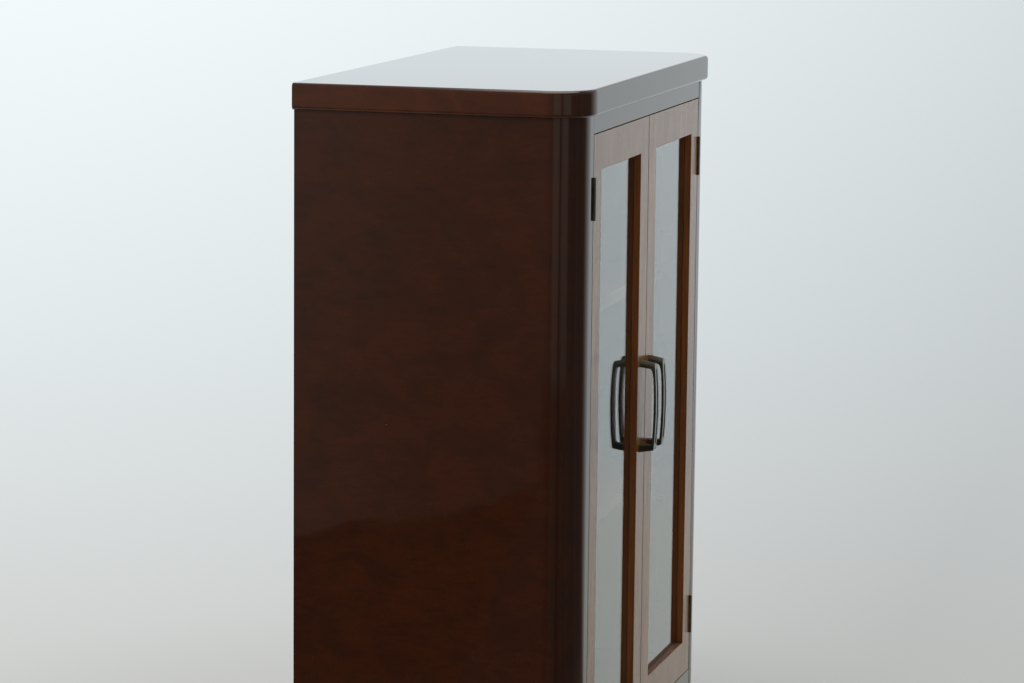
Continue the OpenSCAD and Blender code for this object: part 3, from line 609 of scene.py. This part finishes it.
def lacquered_mahogany(name, axis, strength=1.0, front_shade=0.0, inside=None):
    """Dark mahogany under a thick polished lacquer, lighter by its strength.

    A painted shade, as deep as front_shade, darkens the upright faces at the front. Nearer to the
    cabinet's middle than inside, if that is given, the wood has no lacquer.
    """
    material, tree, shader, place = start_material(name)
    dark = tuple(part * strength for part in MAHOGANY_DARK) + (1,)
    red = tuple(part * strength for part in MAHOGANY_RED) + (1,)
    grain = place_group(tree, wood_grain, Vector=turned_along(tree, place, axis), Dark=dark, Light=red,
                        Along=40.0, Across=150.0, Contrast=0.8, Cloud=0.35, Pores=0.08)
    colour = grain.outputs["Color"]
    # Painted shade over the upright faces of the front and its rounded corners
    if front_shade:
        depth = axes_of(tree, place)["Y"]
        share = remap(tree, depth, CORNER_START, CORNER_START - SHADE_RUN, 0.0, front_shade)
        upward = math_node(tree, "ABSOLUTE", facing_of(tree)["Z"])
        share = math_node(tree, "MULTIPLY", share, remap(tree, upward, *LYING_TO_UPRIGHT))
        colour = mix_colours(tree, share, colour, BLACK)
    wave = place_group(tree, surface_wave, Vector=place, Slow=1.0, Fine=0.02)
    fill(shader, Base_Color=colour, Roughness=0.5, Specular_IOR_Level=0.0,
         Coat_Weight=1.0, Coat_Roughness=0.03, Coat_IOR=1.55)
    add_bump(tree, shader, wave.outputs["Height"], strength=0.02, distance=0.004)
    if inside:
        from_middle = math_node(tree, "ABSOLUTE", axes_of(tree, place)["X"])
        begins, full = (inside + distance for distance in LACQUER_BEGINS)
        fill(shader, Coat_Weight=remap(tree, from_middle, begins, full))
    return material


DOOR_MIDDLE_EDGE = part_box("right_door_meeting_stile")[0].x
DOOR_OUTER_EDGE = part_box("right_door_outer_stile")[1].x
DOOR_TOP_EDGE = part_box("right_door_top_rail")[1].z
DOOR_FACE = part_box("right_door_top_rail")[0].y
SILL_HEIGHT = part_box("right_door_bottom_rail")[1].z
BARREL_GROOVE = 0.0026
# How deep the painted shade of the doors' edges goes, and how much of it the edges in the gaps
# above and between the doors show
EDGE_SHADE_DEPTH = 0.0004
EDGE_SHADE_FULL = 0.0002
GAP_SHADE_SHARE = 0.5
SILL_DARK_SHARE = 0.85
# Distances over which the painted shade in the groove, the painted light on the wood behind the face and
# the sill's darker tone begin
GROOVE_BEGINS = (0.0001, 0.0002)
REBATE_LIGHT_BEGINS = (0.0014, 0.0020)
SILL_BEGINS = (0.0006, 0.0003)
FACE_ROUGHNESS = (0.22, 0.16)
REBATE_ROUGHNESS = 0.42
SILL_ROUGHNESS = 0.75


def satin_mahogany(name):
    """Open-grained upright door wood under a thin satin finish."""
    material, tree, shader, place = start_material(name)
    grain = place_group(tree, wood_grain, Vector=turned_along(tree, place, "Z"), Dark=DOOR_DARK,
                        Light=DOOR_LIGHT, Along=9.0, Across=240.0, Contrast=1.5, Cloud=0.5, Pores=0.6)
    parts = axes_of(tree, place)
    across, depth, height = math_node(tree, "ABSOLUTE", parts["X"]), parts["Y"], parts["Z"]
    # The narrow edges of a door, which stand in its gaps, get a painted shade
    meeting_edge = remap(tree, across, DOOR_MIDDLE_EDGE + EDGE_SHADE_DEPTH, DOOR_MIDDLE_EDGE + EDGE_SHADE_FULL,
                         0.0, GAP_SHADE_SHARE)
    outer_edge = remap(tree, across, DOOR_OUTER_EDGE - EDGE_SHADE_DEPTH, DOOR_OUTER_EDGE - EDGE_SHADE_FULL)
    top_edge = remap(tree, height, DOOR_TOP_EDGE - EDGE_SHADE_DEPTH, DOOR_TOP_EDGE - EDGE_SHADE_FULL,
                     0.0, GAP_SHADE_SHARE)
    groove_edge = DOOR_OUTER_EDGE - BARREL_GROOVE
    near_outer_edge = remap(tree, across, groove_edge - EDGE_SHADE_FULL, groove_edge)
    behind = math_node(tree, "SUBTRACT", depth, DOOR_FACE)
    groove = math_node(tree, "MULTIPLY", near_outer_edge, remap(tree, behind, *GROOVE_BEGINS))
    edges = math_node(tree, "MAXIMUM", math_node(tree, "MAXIMUM", meeting_edge, outer_edge), top_edge)
    edges = math_node(tree, "MAXIMUM", edges, groove)
    # What stands back from the door's face is made paler by painted light, and is rougher, rubbed less;
    # the sills under the panes are dull and dark
    behind_face = remap(tree, behind, *REBATE_LIGHT_BEGINS)
    from_sill = distance_from(tree, height, SILL_HEIGHT)
    near_sill = remap(tree, from_sill, *SILL_BEGINS, 0.0, SILL_DARK_SHARE)
    on_sill = math_node(tree, "MULTIPLY", behind_face, near_sill)
    # Painted light makes the wood behind the door's face paler
    colour = mix_colours(tree, behind_face, grain.outputs["Color"], REBATE_LIGHT, blend="MULTIPLY")
    colour = mix_colours(tree, on_sill, colour, SILL_DARK)
    # Painted shade darkens the edges in the gaps and the barrel groove
    colour = mix_colours(tree, edges, colour, EDGE_SHADE)
    rough = remap(tree, grain.outputs["Figure"], 0, 1, *FACE_ROUGHNESS, smooth=False)
    rough = remap(tree, behind_face, 0, 1, rough, REBATE_ROUGHNESS, smooth=False)
    rough = remap(tree, on_sill, 0, SILL_DARK_SHARE, rough, SILL_ROUGHNESS, smooth=False)
    fill(shader, Base_Color=colour, Roughness=rough, IOR=1.5)
    relief = math_node(tree, "SUBTRACT", grain.outputs["Figure"], grain.outputs["Pore Mask"])
    add_bump(tree, shader, relief, strength=0.3, distance=0.0004)
    return material


def inner_wood(axis):
    """Plain wood of the shelves, floor and stops, dull from wear."""
    material, tree, shader, place = start_material("inner_wood_along_" + axis.lower())
    grain = place_group(tree, wood_grain, Vector=turned_along(tree, place, axis), Dark=INNER_DARK,
                        Light=INNER_LIGHT, Along=7.0, Across=90.0, Contrast=1.4, Cloud=0.9, Pores=0.35)
    fill(shader, Base_Color=grain.outputs["Color"], Roughness=0.55, IOR=1.5, Specular_IOR_Level=0.15)
    add_bump(tree, shader, grain.outputs["Figure"], strength=0.08, distance=0.0003)
    return material


def bare_plywood():
    """Unfinished plywood of the back."""
    material, tree, shader, place = start_material("bare_plywood")
    grain = place_group(tree, wood_grain, Vector=turned_along(tree, place, "Z"), Dark=PLY_DARK,
                        Light=PLY_LIGHT, Along=3.0, Across=45.0, Contrast=1.2, Cloud=1.2, Pores=0.3)
    fill(shader, Base_Color=grain.outputs["Color"], Roughness=0.7, IOR=1.5)
    add_bump(tree, shader, grain.outputs["Figure"], strength=0.1, distance=0.0004)
    return material


HANDLE_FOOT_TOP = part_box("left_door_handle")[0].z + FOOT_THICKNESS
# Scales of the bronze's patches and specks, and the noise that they lie between
PATCH_SCALE = 90.0
PATCH_RANGE = (0.42, 0.66)
SPECK_SCALE = 420.0
SPECK_RANGE = (0.55, 0.7)
RUBBED_ROUGHNESS = (0.28, 0.36)
SKIN_ROUGHNESS = 0.6
# How much a face looks upwards from where its skin begins to where it is full, and how near to
# the top of a handle's foot the painted shade reaches
SKIN_BEGINS = (0.35, 0.7)
FOOT_SHADE_REACH = (0.006, 0.004)


def dark_bronze():
    """Darkened bronze with brown patches and a rubbed sheen, dull where it looks upwards."""
    material, tree, shader, place = start_material("dark_bronze")
    patches = remap(tree, noise(tree, place, PATCH_SCALE, detail=4.0, roughness=0.6), *PATCH_RANGE)
    specks = remap(tree, noise(tree, place, SPECK_SCALE, detail=3.0), *SPECK_RANGE)
    colour = mix_colours(tree, patches, BRONZE_GREEN, BRONZE_BROWN)
    colour = mix_colours(tree, specks, colour, BRONZE_SPECK)
    rough = remap(tree, patches, 0, 1, *RUBBED_ROUGHNESS, smooth=False)
    # Faces that look upwards weren't rubbed and keep a dull skin; on the tops of the handles' feet,
    # inside the bow, a painted shade makes them darkest
    unrubbed = remap(tree, facing_of(tree)["Z"], *SKIN_BEGINS)
    from_foot = distance_from(tree, axes_of(tree, place)["Z"], HANDLE_FOOT_TOP)
    # Painted shade on the tops of the handles' feet
    skin = mix_colours(tree, remap(tree, from_foot, *FOOT_SHADE_REACH), BRONZE_SKIN, FOOT_SHADE)
    colour = mix_colours(tree, unrubbed, colour, skin)
    rough = remap(tree, unrubbed, 0, 1, rough, SKIN_ROUGHNESS, smooth=False)
    bare = math_node(tree, "SUBTRACT", 1.0, unrubbed)
    fill(shader, Base_Color=colour, Metallic=bare, Roughness=rough, Specular_IOR_Level=0.2)
    wave = place_group(tree, surface_wave, Vector=place, Slow=0.2, Fine=0.5)
    add_bump(tree, shader, wave.outputs["Height"], strength=0.12, distance=0.0006)
    return material


SCRATCH_STRETCH = (1.0, 1.0, 0.15)
SCRATCH_SCALE = 900.0
SCRATCH_RANGE = (0.3, 0.7)
TARNISH_SCALE = 130.0
TARNISH_RANGE = (0.35, 0.7)


def plain_metal(name, bright, dull, roughness):
    """Cast or plated metal between two colours, with faint scratches in its range of roughness."""
    material, tree, shader, place = start_material(name)
    stretched = vector_node(tree, "MULTIPLY", place, SCRATCH_STRETCH)
    scratches = noise(tree, stretched, SCRATCH_SCALE, detail=3.0)
    tarnish = remap(tree, noise(tree, place, TARNISH_SCALE), *TARNISH_RANGE)
    rough = remap(tree, scratches, *SCRATCH_RANGE, *roughness, smooth=False)
    fill(shader, Base_Color=mix_colours(tree, tarnish, bright, dull), Metallic=1.0, Roughness=rough)
    add_bump(tree, shader, scratches, strength=0.05, distance=0.0002)
    return material


def clear_glass():
    """Clear window glass with a very slight wave."""
    material, tree, shader, place = start_material("clear_glass")
    fill(shader, Base_Color=(0.93, 0.97, 0.96, 1), Roughness=0.0, IOR=1.47, Transmission_Weight=1.0)
    wave = place_group(tree, surface_wave, Vector=place, Slow=0.5, Fine=0.0)
    add_bump(tree, shader, wave.outputs["Height"], strength=0.001, distance=0.001)
    return material


MOULD_SCALE = 1400.0
MOULD_RANGE = (0.35, 0.65)


def moulded_plastic():
    """Brown plastic with a fine grain from its mould."""
    material, tree, shader, place = start_material("brown_plastic")
    grain = noise(tree, place, MOULD_SCALE, detail=2.0)
    colour = mix_colours(tree, remap(tree, grain, *MOULD_RANGE), PLASTIC_DARK, PLASTIC_LIGHT)
    fill(shader, Base_Color=colour, Roughness=0.5, IOR=1.46)
    add_bump(tree, shader, grain, strength=0.1, distance=0.0002)
    return material


lacquer = {axis: lacquered_mahogany("lacquered_mahogany_along_" + axis.lower(), axis) for axis in "XY"}
side_lacquer = lacquered_mahogany("lacquered_side", "Y", inside=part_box("right_side")[0].x)
board_lacquer = lacquered_mahogany("lacquered_board", "Y", strength=1.55, front_shade=0.4)
post_lacquer = lacquered_mahogany("lacquered_post", "Y", front_shade=0.3)
door_wood = satin_mahogany("satin_mahogany")
inner = {axis: inner_wood(axis) for axis in "XYZ"}
plywood = bare_plywood()
bronze = dark_bronze()
steel = plain_metal("plated_steel", (0.52, 0.51, 0.48), (0.34, 0.33, 0.31), roughness=(0.28, 0.45))
brass = plain_metal("dull_brass", (0.50, 0.34, 0.12), (0.30, 0.19, 0.07), roughness=(0.3, 0.45))
glass = clear_glass()
plastic = moulded_plastic()


def finish_nodes():
    """The finish of each node that stays as the part made it."""
    finishes = {
        "left_side": side_lacquer, "right_side": side_lacquer, "top_rail": lacquer["X"],
        "bottom_rail": lacquer["X"], "plinth_front": lacquer["X"], "plinth_left": lacquer["Y"],
        "plinth_right": lacquer["Y"], "plinth_back": lacquer["X"],
        "top_stop": inner["X"], "rear_rail": inner["X"], "left_cleat": inner["Y"],
        "right_cleat": inner["Y"], "floor_panel": inner["X"], "lower_shelf": inner["X"],
        "upper_shelf": inner["X"], "plinth_blocks": inner["Z"], "back_panel": plywood,
        "cleat_screws": steel, "back_nails": steel, "catch_magnets": steel, "catch_screws": steel,
        "shelf_pegs": brass, "catch_case": plastic, "post_leaf_screws": bronze,
        "left_post_leaves": bronze, "right_post_leaves": bronze,
        "left_hinge_pins": bronze, "right_hinge_pins": bronze,
    }
    door = {
        "outer_stile": door_wood, "meeting_stile": door_wood, "top_rail": door_wood,
        "bottom_rail": door_wood, "beads": door_wood, "glass": glass,
        "handle_screws": bronze, "leaves": bronze, "leaf_screws": bronze,
        "strike": steel, "strike_screw": steel,
    }
    for side in ("left", "right"):
        for piece, material in door.items():
            finishes[f"{side}_door_{piece}"] = material
    for name, material in finishes.items():
        nodes[name].material_slots[0].material = material
    # Clear panes let the lamps' light through to what stands behind them
    for side in ("left", "right"):
        nodes[f"{side}_door_glass"].visible_shadow = False


def seat_modelled_pieces():
    """Models each left-hand piece, mirrors it and seats both."""
    seat(model_top_board(), "top_board", "case", board_lacquer)
    post = model_corner_post()
    other_post = mirrored(post, "right_rounded_post")
    seat(post, "left_post", "case", post_lacquer)
    seat(other_post, "right_post", "case", post_lacquer)
    corner = model_plinth_corner()
    other_corner = mirrored(corner, "right_rounded_plinth_corner")
    seat(corner, "left_plinth_corner", "case", lacquer["Y"])
    seat(other_corner, "right_plinth_corner", "case", lacquer["Y"])
    handle = model_handle()
    other_handle = mirrored(handle, "right_bow_handle")
    seat(handle, "left_door_handle", "left_door", bronze)
    seat(other_handle, "right_door_handle", "right_door", bronze)


# Studio: what the polished surfaces mirror, the light, the floor and the camera

ROOM_TINT = (0.89, 0.97, 1.0)
LOW_TINT = (0.96, 1.0, 0.95)
DIM_TINT = (0.95, 0.87, 0.79)
PLAIN_LIGHT = 0.37
# How bright the room is round the cabinet, by compass angle from +X towards +Y, in degrees
ROOM_LEVELS = [(0, 1.0), (100, 1.0), (135, 0.62), (155, 0.42), (161, 0.27), (163, 0.2), (165, 0.15),
               (190, 0.13), (196, 0.36), (209, 0.36), (213, 0.08), (222, 0.38), (234, 0.38), (240, 0.12),
               (262, 0.11), (269, 0.16), (274, 0.115), (299, 0.12), (318, 0.75), (332, 0.88),
               (345, 0.89), (349, 0.965), (356, 1.0)]
# The same by height, as the upward part of a direction
HEIGHT_LEVELS = [(-1, 0.5), (-0.3, 0.68), (-0.24, 0.76), (-0.15, 0.92), (-0.08, 1.02), (0, 1.04),
                 (0.06, 1.08), (0.13, 1.08), (0.3, 0.6), (1, 0.5)]
# How far down the dark wavy edge lies on the dim side, by compass angle
DARK_EDGE_DEPTHS = [(158, 0.213), (160.4, 0.209), (161.5, 0.2055), (164.6, 0.206), (166, 0.204),
                    (167.2, 0.2015), (168.6, 0.197), (169.4, 0.193)]
WOBBLE_SCALE = 60.0
WOBBLE_DEPTH = 0.003
EDGE_SOFTNESS = 0.0008
BELOW_EDGE_SHARE = 0.1
# Heights, or parts of a full turn, between which one look of the mirrored room turns into another
CORNER_TURN = (0.468, 0.472)
CORNER_DARK_HEIGHTS = (-0.17, -0.162)
CORNER_DARK_SHARE = 0.45
DIM_HEIGHTS = (-0.17, -0.085)
LOW_DIM_SHARE = 0.62
PAST_CORNER_TURN = (0.655, 0.665)
HIGH_PLAIN_HEIGHTS = (0.03, 0.25)
LOW_PLAIN_HEIGHTS = (-0.248, -0.28)
PLAIN_ROOM_HEIGHTS = (-0.3, 0.1)
PLAIN_ROOM_LEVELS = (0.22, 0.4)
PALE_SIDE_LEVELS = (0.5, 0.9)
LOW_TINT_HEIGHTS = (-0.19, -0.24)
HIGH_LAMP = 3.0
HIGH_LAMP_HEIGHTS = (0.78, 0.86)
HIGH_LAMP_SIDE = (0.3, 0.25)
# Colour of the backdrop by height, and its levels from the side away from the light to the light
BACKDROP_COLOURS = [(-1, (0.66, 0.67, 0.65)), (-0.242, (0.68, 0.69, 0.675)),
                    (-0.15, (0.78, 0.835, 0.85)), (-0.056, (0.89, 0.955, 0.97)),
                    (0.2, (0.90, 0.95, 0.97)), (1, (0.90, 0.94, 0.96))]
BACKDROP_BRIGHT_SIDE = (0.866, 0.5, 0)
BACKDROP_FADE = [(0, 0.92), (0.75, 0.88), (0.91, 0.72), (0.99, 1.0)]
WHITE = (1.0, 1.0, 1.0)


def grey_by_turn(levels):
    """Grey ramp stops for levels at compass angles in degrees."""
    return [(angle / 360, (level,) * 3) for angle, level in levels]


def place_of(height):
    """Where on a ramp a height from -1 to 1 goes."""
    return height / 2 + 0.5


def ramp_of(group, value, stops):
    """A colour ramp with a stop at each place from 0 to 1."""
    ramp = add_node(group, "ShaderNodeValToRGB")
    made = ramp.color_ramp.elements
    made.remove(made[1])
    for number, (place, colour) in enumerate(stops):
        stop = made[0] if number == 0 else made.new(place)
        stop.position = place
        stop.color = (*colour, 1)
    fill(ramp, Fac=value)
    return ramp.outputs["Color"]


def make_studio_tone():
    """Colour of the studio in a direction: as a backdrop, and as polished surfaces mirror it."""
    group, given, out = make_group(
        "studio_tone", [("Direction", VECTOR)], [("Backdrop", COLOUR), ("Mirrored", COLOUR)])
    parts = axes_of(group, given["Direction"])
    height = parts["Z"]
    height_part = math_node(group, "MULTIPLY_ADD", height, 0.5, 0.5)
    backdrop = ramp_of(group, height_part,
                       [(place_of(goal), colour) for goal, colour in BACKDROP_COLOURS])
    towards_light = add_node(group, "ShaderNodeVectorMath", operation="DOT_PRODUCT")
    fill(towards_light, Vector=given["Direction"])
    towards_light.inputs[1].default_value = BACKDROP_BRIGHT_SIDE
    fade = ramp_of(group, towards_light.outputs["Value"],
                   [(place, (level,) * 3) for place, level in BACKDROP_FADE])
    scaled = add_node(group, "ShaderNodeVectorMath", operation="SCALE")
    fill(scaled, Vector=backdrop, Scale=fade)
    turn_round = math_node(group, "ARCTAN2", parts["Y"], parts["X"])
    turn_round = math_node(group, "FRACT", math_node(group, "DIVIDE", turn_round, 2 * math.pi))
    room = ramp_of(group, turn_round, grey_by_turn(ROOM_LEVELS))
    rise = ramp_of(group, height_part, [(place_of(goal), (level,) * 3) for goal, level in HEIGHT_LEVELS])
    # The dim side of the room is brighter upwards and dark below a wavy edge. What the cabinet's
    # rounded corner mirrors of it is dark low down, and beyond that it is even
    wobble = noise(group, given["Direction"], WOBBLE_SCALE, detail=2.0)
    wobble = math_node(group, "MULTIPLY", math_node(group, "SUBTRACT", wobble, 0.5), WOBBLE_DEPTH)
    edge_depth = ramp_of(group, turn_round, grey_by_turn(DARK_EDGE_DEPTHS))
    edge = math_node(group, "ADD", math_node(group, "ADD", height, wobble), edge_depth)
    on_side = remap(group, edge, -EDGE_SOFTNESS, EDGE_SOFTNESS, BELOW_EDGE_SHARE, 1.0)
    on_corner = remap(group, height, *CORNER_DARK_HEIGHTS, CORNER_DARK_SHARE, 1.0)
    shadow = mix_colours(group, remap(group, turn_round, *CORNER_TURN), on_side, on_corner)
    upwards = remap(group, height, *DIM_HEIGHTS, LOW_DIM_SHARE, 1.0, smooth=False)
    dim = math_node(group, "MULTIPLY", shadow, upwards)
    dim = mix_colours(group, remap(group, turn_round, *PAST_CORNER_TURN), dim, WHITE)
    # Far above and far below what the photograph shows, the dim side is plain and brighter
    plain = math_node(group, "MAXIMUM", remap(group, height, *HIGH_PLAIN_HEIGHTS),
                      remap(group, height, *LOW_PLAIN_HEIGHTS))
    pale_side = remap(group, room, *PALE_SIDE_LEVELS)
    shade = mix_colours(group, pale_side, dim, WHITE)
    near_room = math_node(group, "MULTIPLY", room, shade)
    plain_room = remap(group, height, *PLAIN_ROOM_HEIGHTS, *PLAIN_ROOM_LEVELS)
    far_room = math_node(group, "MAXIMUM", room, plain_room)
    level = mix_colours(group, plain, near_room, far_room)
    level = math_node(group, "MULTIPLY", level, rise)
    # A lamp high up on the pale side, which polished edges mirror
    lamp = math_node(group, "MULTIPLY", remap(group, height, *HIGH_LAMP_HEIGHTS),
                     remap(group, parts["Y"], *HIGH_LAMP_SIDE))
    level = math_node(group, "ADD", level, math_node(group, "MULTIPLY", lamp, HIGH_LAMP))
    pale_tint = mix_colours(group, remap(group, height, *LOW_TINT_HEIGHTS), ROOM_TINT, LOW_TINT)
    tint = mix_colours(group, pale_side, DIM_TINT, pale_tint)
    mirrored_tone = add_node(group, "ShaderNodeVectorMath", operation="SCALE")
    fill(mirrored_tone, Vector=tint, Scale=level)
    fill(out, Backdrop=scaled.outputs["Vector"], Mirrored=mirrored_tone.outputs["Vector"])
    return group


studio_tone = make_studio_tone()


def seen_directly(tree, path):
    """1 for what the camera sees, directly or through glass."""
    return math_node(tree, "MAXIMUM", path["Is Camera Ray"], path["Is Transmission Ray"])


def set_world():
    """Plain even light, with the studio's tones for what is seen or mirrored of it."""
    world = bpy.data.worlds.new("studio")
    bpy.context.scene.world = world
    world.use_nodes = True
    world.cycles.sampling_method = "NONE"
    tree = world.node_tree
    light = tree.nodes["Background"]
    direction = tree.nodes.new("ShaderNodeTexCoord").outputs["Generated"]
    tone = place_group(tree, studio_tone, Direction=direction)
    path = tree.nodes.new("ShaderNodeLightPath").outputs
    colour = mix_colours(tree, seen_directly(tree, path), (PLAIN_LIGHT,) * 3, tone.outputs["Backdrop"])
    colour = mix_colours(tree, path["Is Glossy Ray"], colour, tone.outputs["Mirrored"])
    fill(light, Color=colour, Strength=1.0)


# The fixed point that the backdrop's tone is seen from, how far out the mirrored floor is
# stretched, and the distances from the cabinet between which floor turns into backdrop
FLOOR_EYE = (-4.5, -1.25, 1.3)
MIRROR_REACH = 3.8
FLOOR_FADE = (0.5, 1.1)
FLOOR_SIZE = 60
FLOOR_DROP = 0.0005
FLOOR_COLOUR = (0.6, 0.61, 0.6, 1)


def unit_vector(tree, vector):
    made = add_node(tree, "ShaderNodeVectorMath", operation="NORMALIZE")
    return fill(made, Vector=vector).outputs["Vector"]


def lay_floor():
    """A pale floor that keeps the shadow near the cabinet and turns into the backdrop further off."""
    deselect_all()
    bpy.ops.mesh.primitive_plane_add(size=FLOOR_SIZE, location=(0, 0, -FLOOR_DROP))
    floor = bpy.context.object
    floor.name = "studio_floor"
    material = bpy.data.materials.new("pale_floor")
    material.use_nodes = True
    tree = material.node_tree
    tree.nodes.remove(tree.nodes["Principled BSDF"])
    place = tree.nodes.new("ShaderNodeTexCoord").outputs["Object"]
    distance = add_node(tree, "ShaderNodeVectorMath", operation="LENGTH")
    fill(distance, Vector=place)
    distance = distance.outputs["Value"]
    # The backdrop's tone runs over the floor as seen from one fixed point; what polished surfaces
    # mirror of it runs outwards from the cabinet
    from_eye = vector_node(tree, "SUBTRACT", place, FLOOR_EYE)
    backdrop = place_group(tree, studio_tone, Direction=unit_vector(tree, from_eye)).outputs["Backdrop"]
    stretch = add_node(tree, "ShaderNodeVectorMath", operation="SCALE")
    fill(stretch, Vector=place,
         Scale=math_node(tree, "ADD", math_node(tree, "DIVIDE", MIRROR_REACH, distance), 1.0))
    outwards = vector_node(tree, "SUBTRACT", stretch.outputs["Vector"], (0, 0, FLOOR_EYE[2]))
    outwards = unit_vector(tree, outwards)
    mirror_tone = place_group(tree, studio_tone, Direction=outwards).outputs["Mirrored"]
    path = tree.nodes.new("ShaderNodeLightPath").outputs
    far = remap(tree, distance, *FLOOR_FADE)
    plain = fill(add_node(tree, "ShaderNodeBsdfDiffuse"), Color=FLOOR_COLOUR)
    glow = add_node(tree, "ShaderNodeEmission")
    fill(glow, Color=mix_colours(tree, path["Is Glossy Ray"], backdrop, mirror_tone))
    seen_far = math_node(tree, "MULTIPLY", seen_directly(tree, path), far)
    share = math_node(tree, "MAXIMUM", seen_far, path["Is Glossy Ray"])
    mix = add_node(tree, "ShaderNodeMixShader")
    tree.links.new(share, mix.inputs[0])
    tree.links.new(plain.outputs[0], mix.inputs[1])
    tree.links.new(glow.outputs[0], mix.inputs[2])
    tree.links.new(mix.outputs[0], tree.nodes["Material Output"].inputs["Surface"])
    floor.data.materials.append(material)


CABINET_MIDDLE = Vector((0, 0, 0.5))
SOFTBOX_SIZE = 2.0


def hang_softbox(name, place, power):
    """A square soft lamp that faces the middle of the cabinet and that polished pieces don't mirror."""
    deselect_all()
    bpy.ops.object.light_add(type="AREA", location=place)
    lamp = bpy.context.object
    lamp.name = name
    lamp.data.shape = "SQUARE"
    lamp.data.size = SOFTBOX_SIZE
    lamp.data.energy = power
    lamp.visible_glossy = False
    aim = CABINET_MIDDLE - Vector(place)
    lamp.rotation_euler = aim.to_track_quat("-Z", "Y").to_euler()


def light_studio():
    """Three soft lamps, with their power in watts."""
    hang_softbox("left_softbox", (-3.0, 1.4, 2.4), 65)
    hang_softbox("right_softbox", (2.6, -2.2, 2.4), 70)
    hang_softbox("rear_softbox", (1.5, 2.8, 2.8), 45)


# Metres, degrees and millimetres
CAMERA_PLACE = (-4.5147, -1.2485, 1.3007)
CAMERA_TURN = (81.364, -0.583, -74.336)
CAMERA_LENS = 126.65
CAMERA_SENSOR = 36
FARTHEST_SEEN = 200


def place_camera():
    """The photograph's viewpoint: nearly side-on from the left front, from some way off."""
    deselect_all()
    rotation = [math.radians(angle) for angle in CAMERA_TURN]
    bpy.ops.object.camera_add(location=CAMERA_PLACE, rotation=rotation)
    camera = bpy.context.object
    camera.data.lens = CAMERA_LENS
    camera.data.sensor_width = CAMERA_SENSOR
    camera.data.clip_end = FARTHEST_SEEN
    bpy.context.scene.camera = camera


bpy.context.scene.view_settings.view_transform = "Standard"
finish_nodes()
seat_modelled_pieces()
set_world()
lay_floor()
light_studio()
place_camera()
